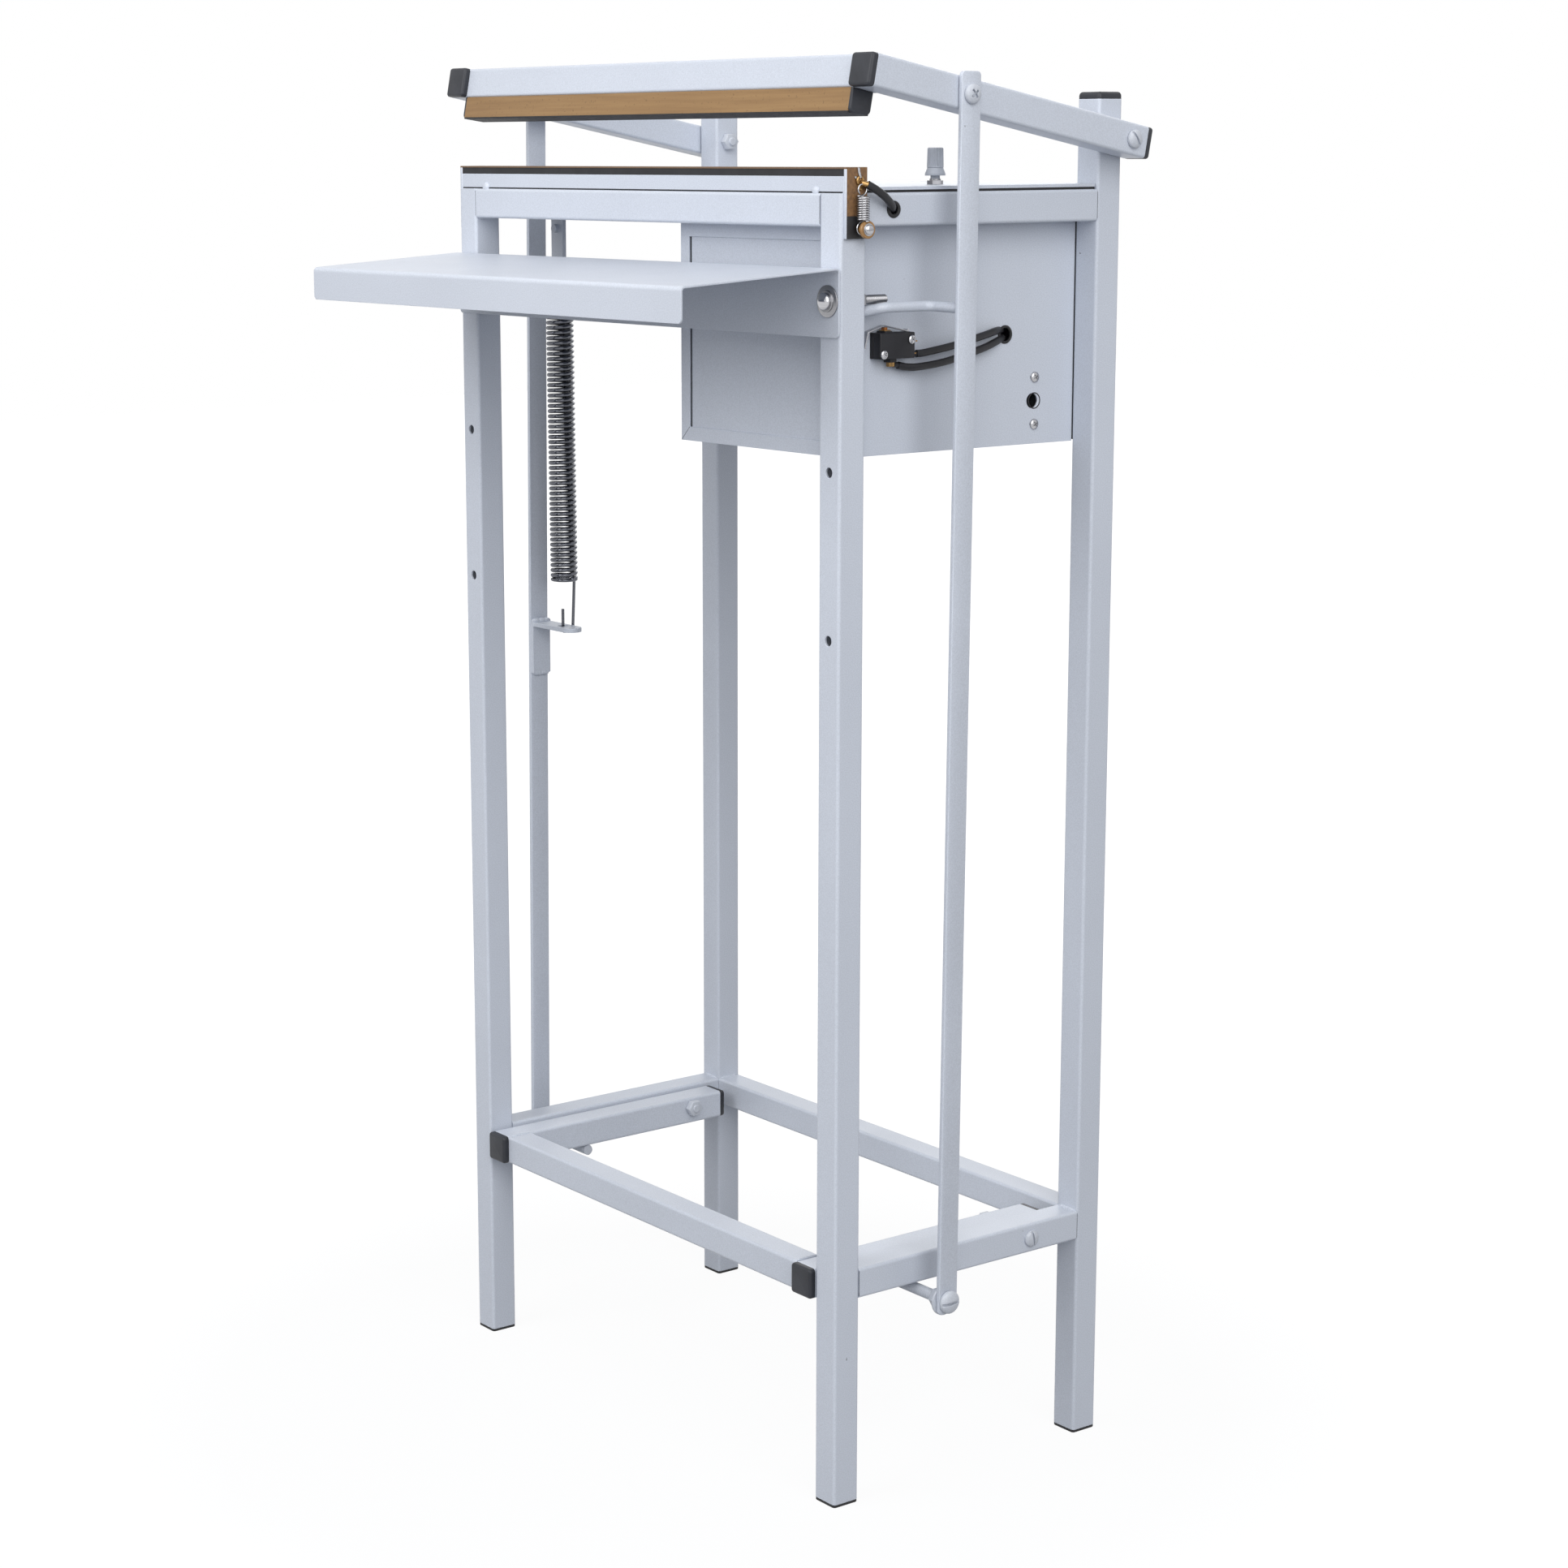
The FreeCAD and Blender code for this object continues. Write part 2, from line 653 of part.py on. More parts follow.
gasket_blank = box("gasket_blank", ("cover_inset + 0.5 - leg_outer", deck_front, "deck_height"),
                   ("frame_width - 2 * cover_inset - 1", deck_depth, "gasket_thick"))
gasket_window = box("gasket_window", ("-leg_inner + 1", "front_leg_back + 1.2", "deck_height - 1"),
                    ("inner_width - 2", "inner_depth - 2", "gasket_thick + 2"))
gasket_notches = []
for side, low_x in (("right", "leg_inner - 0.5"), ("left", "-leg_outer - 1")):
    gasket_notches.append(box(f"gasket_notch_{side}", (low_x, "rear_leg_front - 0.5", "deck_height - 1"),
                              ("tube_size + 1.5", "tube_size + 2", "gasket_thick + 2")))
keep(cut("deck_gasket", gasket_blank, [gasket_window] + gasket_notches))

# Lower jaw: steel base, silicone strip, heating ribbon and its cloth cover
keep(box("lower_jaw_base", ("-leg_outer", "jaw_front", "deck_height"),
         ("frame_width", "jaw_depth", "jaw_base_height")))
keep(box("insulation_strip", ("-leg_outer", "jaw_middle_y - strip_depth / 2", "strip_base"),
         ("frame_width", "strip_depth", "strip_height")))
keep(box("heating_ribbon", ("-leg_outer", "jaw_middle_y - ribbon_width / 2", "strip_top"),
         ("frame_width", "ribbon_width", "ribbon_thick")))
cloth_outer = box("cloth_outer", ("-leg_outer", "jaw_middle_y - strip_depth / 2 - cloth_thick",
                                  "strip_top - cloth_drop"),
                  ("frame_width", "strip_depth + 2 * cloth_thick", "jaw_top - strip_top + cloth_drop"))
cloth_inner = box("cloth_inner",
                  ("-leg_outer - 1", "jaw_middle_y - strip_depth / 2", "strip_top - cloth_drop - 1"),
                  ("frame_width + 2", "strip_depth", "ribbon_thick + cloth_drop + 1"))
keep(cut("cloth_cover", cloth_outer, [cloth_inner]))

# Ribbon terminals at both ends: insulating plate, clip, tension spring, bush, screw and lead
end_plate_blank = box("end_plate_blank", ("leg_outer", "jaw_front", "deck_height - end_plate_drop"),
                      ("end_plate_thick", "jaw_depth", "jaw_top - deck_height + end_plate_drop"))
plate_hole = rod("plate_hole", "bush_screw_size / 2", "end_plate_thick + 2",
                 ("leg_outer - 1", "bush_y", "bush_z"),
                 ALONG_X)
keep(both_sides("jaw_end_plates", cut("end_plate", end_plate_blank, [plate_hole])))
clip_half = v.terminal_width / 2
clip_outline = [(-clip_half, 0), (clip_half, 0), (clip_half, -v.terminal_drop * 0.6),
                (0, -v.terminal_drop),
                (-clip_half, -v.terminal_drop * 0.6)]
clip = extruded([(v.terminal_y + y, v.terminal_top + z) for y, z in clip_outline], v.plate_outer, v.sheet)
clip_face = v.plate_outer + v.sheet
clip_hook = Part.makeCylinder(v.ribbon_spring_wire,
                              v.ribbon_spring_x + v.ribbon_spring_size / 2 - clip_face,
                              Vector(clip_face, v.terminal_y, v.clip_pin_z), Vector(1, 0, 0))
clip_screw = Part.makeCylinder(v.terminal_width * 0.3, v.sheet * 1.6,
                               Vector(clip_face, v.terminal_y, v.terminal_top - v.terminal_drop * 0.3),
                               Vector(1, 0, 0))
keep(both_sides("ribbon_terminals", feature("ribbon_terminal", clip.fuse([clip_hook, clip_screw]))))
bush_blank = rod("bush_blank", "bush_size / 2", "bush_length", ("plate_outer", "bush_y", "bush_z"),
                 ALONG_X)
bush_bore = rod("bush_bore", "bush_screw_size / 2", "bush_length + 2",
                ("plate_outer - 1", "bush_y", "bush_z"), ALONG_X)
keep(both_sides("spring_bushes", cut("spring_bush", bush_blank, [bush_bore])))
bush_screw = fastener("bush_screw", ("bush_screw_size / 2 - pivot_play", "bush_length + end_plate_thick"),
                      ("bush_screw_size * 0.8", "bush_screw_size * 0.55"),
                      ("plate_outer + bush_length", "bush_y", "bush_z"), ALONG_X)
keep(both_sides("bush_screws", bush_screw))


def ribbed_sleeve(outer, wire, low, high, turns):
    """A close coil about the Z axis as a turned sleeve with a ridge for each turn."""
    pitch = (high - low) / turns
    outline = [Vector(outer - wire, 0, low), Vector(outer - wire * 0.75, 0, low)]
    for turn in range(turns):
        outline.append(Vector(outer, 0, low + (turn + 0.5) * pitch))
        outline.append(Vector(outer - wire * 0.75, 0, low + (turn + 1) * pitch))
    outline.append(Vector(outer - wire, 0, high))
    outline.append(outline[0])
    return Part.Face(Part.makePolygon(outline)).revolve(Vector(0, 0, 0), Vector(0, 0, 1), 360)


ribbon_coil_high = v.clip_pin_z - v.ribbon_spring_wire - v.seat_gap
ribbon_coil_low = v.bush_z + v.bush_size / 2 + v.seat_gap
ribbon_turns = round((ribbon_coil_high - ribbon_coil_low) / v.ribbon_spring_pitch)
ribbon_spring = ribbed_sleeve(v.ribbon_spring_size / 2, v.ribbon_spring_wire, ribbon_coil_low,
                              ribbon_coil_high,
                              ribbon_turns)
ribbon_spring.translate(Vector(v.ribbon_spring_x, v.terminal_y, 0))
keep(both_sides("ribbon_springs", feature("ribbon_spring", ribbon_spring)))
lead_path = rounded_path([
    Vector(clip_face + v.lead_size / 2 + v.seat_gap, v.terminal_y + clip_half - v.cloth_thick,
           v.terminal_top - v.lead_size),
    Vector(v.plate_outer + v.lead_size, v.terminal_y + v.lead_size * 3,
           v.terminal_top - v.lead_size * 2.4),
    Vector(v.leg_outer + v.lead_bend + 0.5, v.lead_hole_y, v.lead_hole_z),
    Vector(v.leg_outer - v.tube_wall - v.lead_size, v.lead_hole_y, v.lead_hole_z),
], v.lead_bend)
keep(both_sides("heater_leads", feature("heater_lead", swept(lead_path, v.lead_size / 2))))

# Tray: one folded sheet, open at both ends, with a front lip and a rear flange bolted to the legs


def edges_where(shape, test):
    return [f"Edge{number}" for number, edge in enumerate(shape.Edges, start=1) if test(edge)]


def tray_form(label, inset, over):
    """A wedge as long as the tray, drawn in by an inset, with its top folds rounded."""
    body = doc.addObject("PartDesign::Body", label)
    side = new_sketch(body, label + "_side", "YZ_Plane")
    reaches = {
        "front_y": ("DistanceX", 0, f"tray_front + {inset}"),
        "rear_y": ("DistanceX", 2, f"front_face - {inset}"),
        "top_front": ("DistanceY", 0, f"tray_top_front - {inset}"),
        "lip": ("DistanceY", 1, f"tray_top_front - tray_lip - {over}"),
        "flange": ("DistanceY", 2, f"tray_top_rear - tray_rear_flange - {over}"),
        "top_rear": ("DistanceY", 3, f"tray_top_rear - {inset}"),
    }
    number = {
        "front_y": v.tray_front,
        "rear_y": v.front_face,
        "top_front": v.tray_top_front,
        "lip": v.tray_top_front - v.tray_lip,
        "flange": v.tray_top_rear - v.tray_rear_flange,
        "top_rear": v.tray_top_rear,
    }
    corners = [
        Vector(number["front_y"], number["top_front"], 0),
        Vector(number["front_y"], number["lip"], 0),
        Vector(number["rear_y"], number["flange"], 0),
        Vector(number["rear_y"], number["top_rear"], 0),
    ]
    side.addGeometry([Part.LineSegment(corners[k], corners[(k + 1) % 4]) for k in range(4)], False)
    side.addConstraint([Sketcher.Constraint("Coincident", k, 2, (k + 1) % 4, 1) for k in range(4)]
                       + [Sketcher.Constraint("Vertical", 0), Sketcher.Constraint("Vertical", 2)])
    for name, (kind, corner, text) in reaches.items():
        name_constraint(side, name, Sketcher.Constraint(kind, -1, 1, corner, 1, number[name]), text)
    block = body.newObject("PartDesign::Pad", label + "_block")
    block.Profile = side
    block.Midplane = True
    bind(block, Length=f"frame_width + 2 * {over}")
    doc.recompute()

    def is_top_fold(edge):
        return edge.CenterOfMass.z > number["lip"] + v.tray_bend and abs(edge.tangentAt(0).x) > 0.9

    folds = body.newObject("PartDesign::Fillet", label + "_folds")
    folds.Base = (block, edges_where(block.Shape, is_top_fold))
    bind(folds, Radius=f"tray_bend - {inset}")
    body.Tip = folds
    return body


def is_lower_side(edge):
    middle_height = v.tray_top_front - v.tray_lip
    return edge.CenterOfMass.z < middle_height and abs(edge.tangentAt(edge.FirstParameter).x) < 0.1


tray_skin = tray_form("tray_skin", "0", "0")
doc.recompute()
tray_folds = tray_skin.Tip
tray_corners = tray_skin.newObject("PartDesign::Fillet", "tray_corners")
tray_corners.Base = (tray_folds, edges_where(tray_folds.Shape, is_lower_side))
bind(tray_corners, Radius="tray_bend")
tray_skin.Tip = tray_corners
tray_shell = cut("tray_shell", tray_skin, [tray_form("tray_hollow", "sheet", "1")])
tray_hole = rod("tray_hole", "spare_hole_size / 2", "sheet + 2",
                ("leg_middle", "front_face + 1", "tray_bolt_height"), FORWARD)
keep(cut("tray", tray_shell, [tray_hole, mirrored("tray_hole_left", tray_hole)]))
tray_bolt = fastener("tray_bolt", ("pivot_bolt_size / 2", "sheet + tube_size + tray_bolt_tail"),
                     ("nut_radius", "nut_height"), ("leg_middle", "front_face - sheet",
                                                    "tray_bolt_height"), FORWARD,
                     washer=("tray_washer_size / 2", "sheet"),
                     nut=("nut_radius", "nut_height", "sheet + tube_size"))
keep(both_sides("tray_bolts", tray_bolt))

# Control box: an open-topped sheet box between the right legs with an inset front panel
box_outer = box("box_outer", ("box_left", "front_leg_back", "box_base"),
                ("box_width", "inner_depth", "box_height"))
box_inner = box("box_inner", ("box_left + sheet", "front_leg_back + sheet", "box_base + sheet"),
                ("box_width - 2 * sheet", "inner_depth - 2 * sheet", "box_height"))
box_window = box("box_window", ("box_left + box_border", "front_leg_back - 1", "box_base + box_border"),
                 ("box_width - 2 * box_border", "sheet + 2", "box_height - tube_size - 2 * box_border"))
outlet_hole = rod("outlet_hole", "outlet_size / 2", "sheet + 2",
                  ("leg_inner - sheet - 1", "outlet_y", "outlet_height"), ALONG_X)
outlet_screw_holes = []
for side, sign in (("upper", "+"), ("lower", "-")):
    outlet_screw_holes.append(rod(f"outlet_{side}_hole", "small_screw_size / 2", "sheet + 2",
                                  ("leg_inner - sheet - 1", "outlet_y",
                                   f"outlet_height {sign} outlet_screw_offset"), ALONG_X))
switch_holes = []
switch_screws = []
for number in range(2):
    hole_y = f"switch_y + switch_hole_inset + {number} * switch_hole_run"
    hole_z = f"switch_base + switch_hole_inset + {number} * switch_hole_rise"
    switch_holes.append(rod(f"switch_hole_{number}", "switch_hole_size / 2", "switch_width + sheet * 3",
                            ("leg_inner - sheet * 2", hole_y, hole_z), ALONG_X))
    switch_screws.append(fastener(f"switch_screw_{number}",
                                  ("switch_hole_size / 2 - pivot_play", "switch_width + sheet * 2"),
                                  ("switch_hole_size", "switch_hole_size * 0.6"),
                                  ("leg_inner + switch_width", hole_y, hole_z), ALONG_X))
switch_lead_hole = rod("switch_lead_hole", "switch_lead_hole_size / 2", "sheet + 2",
                       ("leg_inner - sheet - 1", "switch_lead_hole_y", "switch_lead_height"), ALONG_X)
keep(cut("control_box", box_outer,
         [box_inner, box_window, outlet_hole, switch_lead_hole] + outlet_screw_holes
         + switch_holes))
keep(box("box_front_panel", ("box_left + box_border - panel_lap", "front_leg_back + sheet",
                             "box_base + box_border - panel_lap"),
         ("box_width - 2 * (box_border - panel_lap)", "sheet",
          "box_height - tube_size - 2 * (box_border - panel_lap)")))
outlet_screws = []
for side, sign in (("upper", "+"), ("lower", "-")):
    outlet_screws.append(fastener(f"outlet_{side}_screw",
                                  ("small_screw_size / 2 - pivot_play", "sheet * 4"),
                                  ("small_screw_size", "small_screw_size * 0.6"),
                                  ("leg_inner", "outlet_y", f"outlet_height {sign} outlet_screw_offset"),
                                  ALONG_X))

# Inside the box: transformer on the floor, timer board on its wall, potentiometer under the cover
core_blank = box("core_blank",
                 ("box_left + core_inset", "box_middle_y - core_depth / 2", "box_base + sheet"),
                 ("core_width", "core_depth", "core_height"))
core_windows = []
for side, low_y in (("front", "box_middle_y - core_depth / 3"),
                    ("back", "box_middle_y + core_depth / 6")):
    core_windows.append(box(f"core_window_{side}",
                            ("box_left + core_inset - 1", low_y, "box_base + sheet + core_height / 4"),
                            ("core_width + 2", "core_depth / 6", "core_height / 2")))
keep(cut("transformer_core", core_blank, core_windows))
winding_left = "box_left + core_inset - core_width * 0.15"
winding_blank = box("winding_blank", (winding_left, "box_middle_y - core_depth / 3 + core_play",
                                      "box_base + sheet + core_height / 4 + core_play"),
                    ("core_width * 1.3", "core_depth * 2 / 3 - 2 * core_play",
                     "core_height / 2 - 2 * core_play"))
winding_bore = box("winding_bore", (winding_left + " - 1", "box_middle_y - core_depth / 6 - core_play",
                                    "box_base + sheet + core_height / 4 - 1"),
                   ("core_width * 1.3 + 2", "core_depth / 3 + 2 * core_play", "core_height / 2 + 2"))
winding_ends = []
for side, low_x in (("left", winding_left), ("right", "box_left + core_inset + core_width + core_play")):
    winding_ends.append(box(f"winding_end_{side}",
                            (low_x, "box_middle_y - core_depth / 6 - core_play - 1",
                             "box_base + sheet + core_height / 4 + core_play"),
                            ("core_width * 0.15 - core_play", "core_depth / 3 + 2 * core_play + 2",
                             "core_height / 2 - 2 * core_play")))
winding_ring = cut("winding_ring", winding_blank, [winding_bore])
keep(fuse("transformer_winding", [winding_ring] + winding_ends))
board_at = ("box_left + sheet + board_stand", "box_middle_y - board_length / 2",
            "box_base + box_height / 2")
board_sheet = box("board_sheet", board_at, ("board_thick", "board_length", "board_height"))
board_posts = []
for number, (reach, rise) in enumerate(((0.05, 0.1), (0.95, 0.1), (0.05, 0.9), (0.95, 0.9))):
    board_posts.append(rod(f"board_post_{number}", "board_stand / 2", "board_stand",
                           ("box_left + sheet", f"box_middle_y + board_length * ({reach} - 0.5)",
                            f"box_base + box_height / 2 + board_height * {rise}"), ALONG_X))
keep(fuse("timer_board", [board_sheet] + board_posts))
pot_can = rod("pot_can", "pot_size / 2", "pot_depth", ("knob_x", "knob_y", "cover_base - pot_depth"))
pot_bushing = rod("pot_bushing", "pot_bushing_size / 2", "cover_thick + knob_nut_height + 1",
                  ("knob_x", "knob_y", "cover_base"))
pot_nut = doc.addObject("Part::Prism", "pot_nut")
pot_nut.Polygon = 6
bind(pot_nut, Circumradius="pot_bushing_size * 0.72", Height="knob_nut_height")
place(pot_nut, ("knob_x", "knob_y", "cover_top"))
pot_blank = fuse("pot_blank", [pot_can, pot_bushing, pot_nut])
pot_bore = rod("pot_bore", "knob_shaft_size / 2 + pivot_play",
               "pot_depth + cover_thick + knob_nut_height + 2",
               ("knob_x", "knob_y", "cover_base - pot_depth / 2"))
keep(cut("timer_potentiometer", pot_blank, [pot_bore]))

# Timer knob: a shaft, a skirt and a fluted grip
knob_low = v.cover_top + v.knob_nut_height + v.knob_clear
knob_top = knob_low + v.knob_height
grip_low = knob_low + v.knob_skirt_height
knob_at = Vector(v.knob_x, v.knob_y, 0)
shaft_low = v.cover_base - v.pot_depth / 2 + 0.5
knob_shape = Part.makeCylinder(v.knob_shaft_size / 2, knob_low + 2 - shaft_low, Vector(0, 0, shaft_low))
rim = Part.makeCylinder(v.knob_skirt / 2, v.knob_rim_height, Vector(0, 0, knob_low))
skirt = Part.makeCone(v.knob_skirt / 2, v.knob_size / 2, v.knob_skirt_height - v.knob_rim_height,
                      Vector(0, 0, knob_low + v.knob_rim_height))
grip = Part.makeCone(v.knob_size / 2 + 0.3, v.knob_size / 2, knob_top - grip_low, Vector(0, 0, grip_low))
grip = grip.makeChamfer(0.6,
                        [grip.Edges[0] if grip.Edges[0].CenterOfMass.z > knob_top - 0.1 else grip.Edges[2]])
flutes = []
flute_count = int(v.knob_flutes)
for flute in range(flute_count):
    turn = 2 * math.pi * flute / flute_count
    centre = Vector(math.cos(turn), math.sin(turn), 0) * (v.knob_size / 2 + 0.45)
    flutes.append(Part.makeCylinder(0.7, v.knob_height, Vector(centre.x, centre.y, grip_low + 1)))
knob_shape = knob_shape.fuse([rim, skirt, grip.cut(flutes)])
knob_shape.translate(knob_at)
keep(feature("timer_knob", knob_shape))

# Microswitch on the box's side, its plunger and its bent lever
switch_blank = box("switch_blank", ("leg_inner", "switch_y", "switch_base"),
                   ("switch_width", "switch_length", "switch_height"))
plunger_slot = box("plunger_slot", ("plunger_x - plunger_width / 2 - pivot_play",
                                    "plunger_y - plunger_length / 2 - pivot_play",
                                    "switch_top - plunger_depth - plunger_rise"),
                   ("plunger_width + 2 * pivot_play", "plunger_length + 2 * pivot_play",
                    "plunger_depth + plunger_rise + 1"))
switch_case = cut("switch_case", switch_blank, [plunger_slot] + switch_holes)
terminal_tabs = []
for number, step in enumerate((0.5, 2)):
    terminal_tabs.append(box(f"switch_tab_{number}",
                             ("plunger_x - switch_tab_width / 2", "switch_y + switch_length",
                              f"switch_base + switch_tab_step * {step} - switch_tab_thick / 2"),
                             ("switch_tab_width", "switch_tab_length", "switch_tab_thick")))
terminal_tabs.append(box("switch_tab_under",
                         ("plunger_x - switch_tab_width / 2", "plunger_y + switch_tab_step / 2",
                          "switch_base - switch_tab_length"),
                         ("switch_tab_width", "switch_tab_length", "switch_tab_length")))
keep(fuse("microswitch", [switch_case] + terminal_tabs))
keep(group("box_screws", outlet_screws + switch_screws))
keep(box("switch_plunger", ("plunger_x - plunger_width / 2", "plunger_y - plunger_length / 2",
                            "switch_top - plunger_depth"),
         ("plunger_width", "plunger_length", "plunger_depth + plunger_rise - 2 * lever_play")))
thick = v.lever_thick
lever_back = [(0, v.lever_play), (v.lever_peak, v.plunger_rise + 2 * v.lever_play),
              (v.lever_tip, 2 * v.lever_play),
              (v.lever_tip + v.lever_slope, -v.lever_foot_drop), (v.lever_foot, -v.lever_foot_drop)]
lever_face = [(0, v.lever_play + thick), (v.lever_peak, v.plunger_rise + 2 * v.lever_play + thick),
              (v.lever_tip + thick, 2 * v.lever_play + thick),
              (v.lever_tip + v.lever_slope + thick, thick - v.lever_foot_drop),
              (v.lever_foot, thick - v.lever_foot_drop)]
lever_outline = [(v.lever_pivot_y - reach, v.switch_top + rise)
                 for reach, rise in lever_back + lever_face[::-1]]
lever_left = v.plunger_x - v.lever_width / 2
lever_pin = Part.makeCylinder(v.lever_pin_size / 2, v.lever_width,
                              Vector(lever_left, v.lever_pivot_y, v.lever_pivot_z), Vector(1, 0, 0))
keep(feature("switch_lever", extruded(lever_outline, lever_left, v.lever_width).fuse(lever_pin)))
run_x = v.plunger_x + v.sheet
upper_z = v.switch_lead_height + v.switch_lead_size / 2 + v.pivot_play
lower_z = v.switch_lead_height - v.switch_lead_size / 2 - v.pivot_play
in_wall = v.leg_inner - v.sheet * 3
tab_y = v.switch_y + v.switch_length + v.switch_tab_length + v.seat_gap
under_y = v.plunger_y + v.switch_tab_step / 2 + v.switch_tab_length + v.seat_gap
upper_lead = rounded_path([
    Vector(v.plunger_x, tab_y, v.switch_base + v.switch_tab_step / 2),
    Vector(run_x, tab_y + v.switch_lead_run, v.switch_base + v.switch_tab_step),
    Vector(run_x, v.switch_lead_hole_y, upper_z),
    Vector(in_wall, v.switch_lead_hole_y, upper_z),
], v.switch_lead_bend)
lower_lead = rounded_path([
    Vector(v.plunger_x, under_y, v.switch_base - v.switch_tab_length * 0.8),
    Vector(run_x, tab_y + v.switch_lead_size, v.switch_base - v.switch_lead_sag),
    Vector(run_x, tab_y + v.switch_lead_run, v.switch_base - v.switch_lead_sag * 0.6),
    Vector(run_x, v.switch_lead_hole_y, lower_z),
    Vector(in_wall, v.switch_lead_hole_y, lower_z),
], v.switch_lead_bend)
switch_leads = [
    feature("upper_switch_lead", swept(upper_lead, v.switch_lead_size / 2)),
    feature("lower_switch_lead", swept(lower_lead, v.switch_lead_size / 2)),
]
keep(group("switch_leads", switch_leads))

# Return spring: a hanger under the left top rail, the coil with its top loop, and its lower hook
hanger_blank = box("hanger_blank",
                   ("spring_x - hanger_width / 2", "spring_y - hanger_thick / 2", "rail_base - hanger_drop"),
                   ("hanger_width", "hanger_thick", "hanger_drop"))
hanger_hole = rod("hanger_hole", "spring_wire * 1.5", "hanger_thick + 2",
                  ("spring_x", "spring_y + hanger_thick / 2 + 1",
                   "spring_top + spring_loop * 2 - spring_wire / 2"),
                  FORWARD)
hanger_stud = rod("hanger_stud", "pivot_bolt_size / 2", "hanger_thick",
                  ("spring_x", "spring_y - hanger_thick / 2", "rail_base - 9"), FORWARD)
hanger_plate = cut("hanger_plate", hanger_blank, [hanger_hole])
keep(mirrored("spring_hanger", fuse("right_hanger", [hanger_plate, hanger_stud])))


spring_ring = v.spring_size / 2 - v.spring_wire / 2
wire_radius = v.spring_wire / 2
sleeve = ribbed_sleeve(v.spring_size / 2, v.spring_wire, v.spring_base, v.spring_top,
                       int(v.spring_ridges))
top_bridge = Part.makeCylinder(wire_radius, 2 * spring_ring, Vector(0, -spring_ring, v.spring_top),
                               Vector(0, 1, 0))
top_loop = Part.makeTorus(v.spring_loop, wire_radius, Vector(0, 0, v.spring_top + v.spring_loop),
                          Vector(1, 0, 0))
spring_shape = sleeve.fuse([top_bridge, top_loop])
spring_shape.translate(Vector(v.spring_x, v.spring_y, 0))
keep(mirrored("return_spring", feature("right_spring", spring_shape)))
hook_z = v.lug_height + v.hook_seat
hook_top = v.spring_base - wire_radius - v.seat_gap
long_leg_y = spring_ring
tip_y = long_leg_y - 2 * v.hook_radius
hook_path = Part.Wire([
    Part.LineSegment(Vector(0, long_leg_y, hook_top), Vector(0, long_leg_y, hook_z)).toShape(),
    Part.Arc(Vector(0, long_leg_y, hook_z), Vector(0, long_leg_y - v.hook_radius, hook_z - v.hook_radius),
             Vector(0, tip_y, hook_z)).toShape(),
    Part.LineSegment(Vector(0, tip_y, hook_z), Vector(0, tip_y, hook_z + v.hook_tip)).toShape(),
])
end_turn = Part.makeTorus(spring_ring, wire_radius, Vector(0, 0, hook_top), Vector(0, 0, 1))
hook_shape = swept(hook_path, wire_radius).fuse(end_turn)
hook_shape.translate(Vector(v.spring_x, v.spring_y, 0))
keep(mirrored("return_spring_hook", feature("right_hook", hook_shape)))

# Pedal: a level frame of tube inside the side rails
pedal_arm_blank = tube("pedal_arm_blank", "pedal_length",
                       ("pedal_middle", "pedal_front + pedal_length", "pedal_z"),
                       FORWARD)
pedal_arm_hole = rod("pedal_arm_hole", "pivot_bolt_size / 2 + pivot_play", "tube_size + 2",
                     ("pedal_inner - 1", "pedal_pivot_y", "lower_rail_z"), ALONG_X)
pedal_right_arm = cut("pedal_right_arm", pedal_arm_blank, [pedal_arm_hole])
keep(pedal_right_arm, mirrored("pedal_left_arm", pedal_right_arm))
keep(tube("pedal_front_bar", "2 * pedal_inner",
          ("-pedal_inner", "pedal_front + tube_size / 2", "pedal_z"), ALONG_X))
pedal_front_cap = cap("pedal_front_cap", "cap_rise", ("pedal_middle", "pedal_front", "pedal_z"), FORWARD)
pedal_rear_cap = cap("pedal_rear_cap", "cap_rise", ("pedal_middle", "pedal_front + pedal_length",
                                                   "pedal_z"), BACKWARD)
keep(group("pedal_caps", [both_sides("pedal_front_caps", pedal_front_cap),
                          both_sides("pedal_rear_caps", pedal_rear_cap)]))
pedal_pivot_bolt = fastener("pedal_pivot_bolt",
                            ("pivot_bolt_size / 2", "leg_outer - pedal_inner + nut_height + 2"),
                            ("pivot_bolt_size * 0.95", "pivot_bolt_size * 0.6"),
                            ("leg_outer", "pedal_pivot_y", "lower_rail_z"), ALONG_X,
                            nut=("nut_radius", "nut_height", "leg_outer - pedal_inner + seat_gap"))
keep(both_sides("pedal_pivot_bolts", pedal_pivot_bolt))
rod_bolt = fastener("rod_bolt", ("rod_bolt_size / 2", "rod_outer + seat_gap - pedal_inner - 2"),
                    ("rod_bolt_size * 0.95", "rod_bolt_size * 0.6"),
                    ("rod_outer + seat_gap", "rod_bolt_y", "rod_bolt_z"), ALONG_X,
                    nut=("rod_bolt_size * 0.92", "rod_bolt_size * 0.8",
                         "rod_thick + 2 * seat_gap + rod_washer_thick"))
rod_washer = rod("rod_washer", "rod_washer_size / 2", "rod_washer_thick",
                 ("rod_inner - seat_gap - rod_washer_thick", "rod_bolt_y", "rod_bolt_z"), ALONG_X)
keep(both_sides("rod_bolts", fuse("rod_bolt_set", [rod_bolt, rod_washer])))

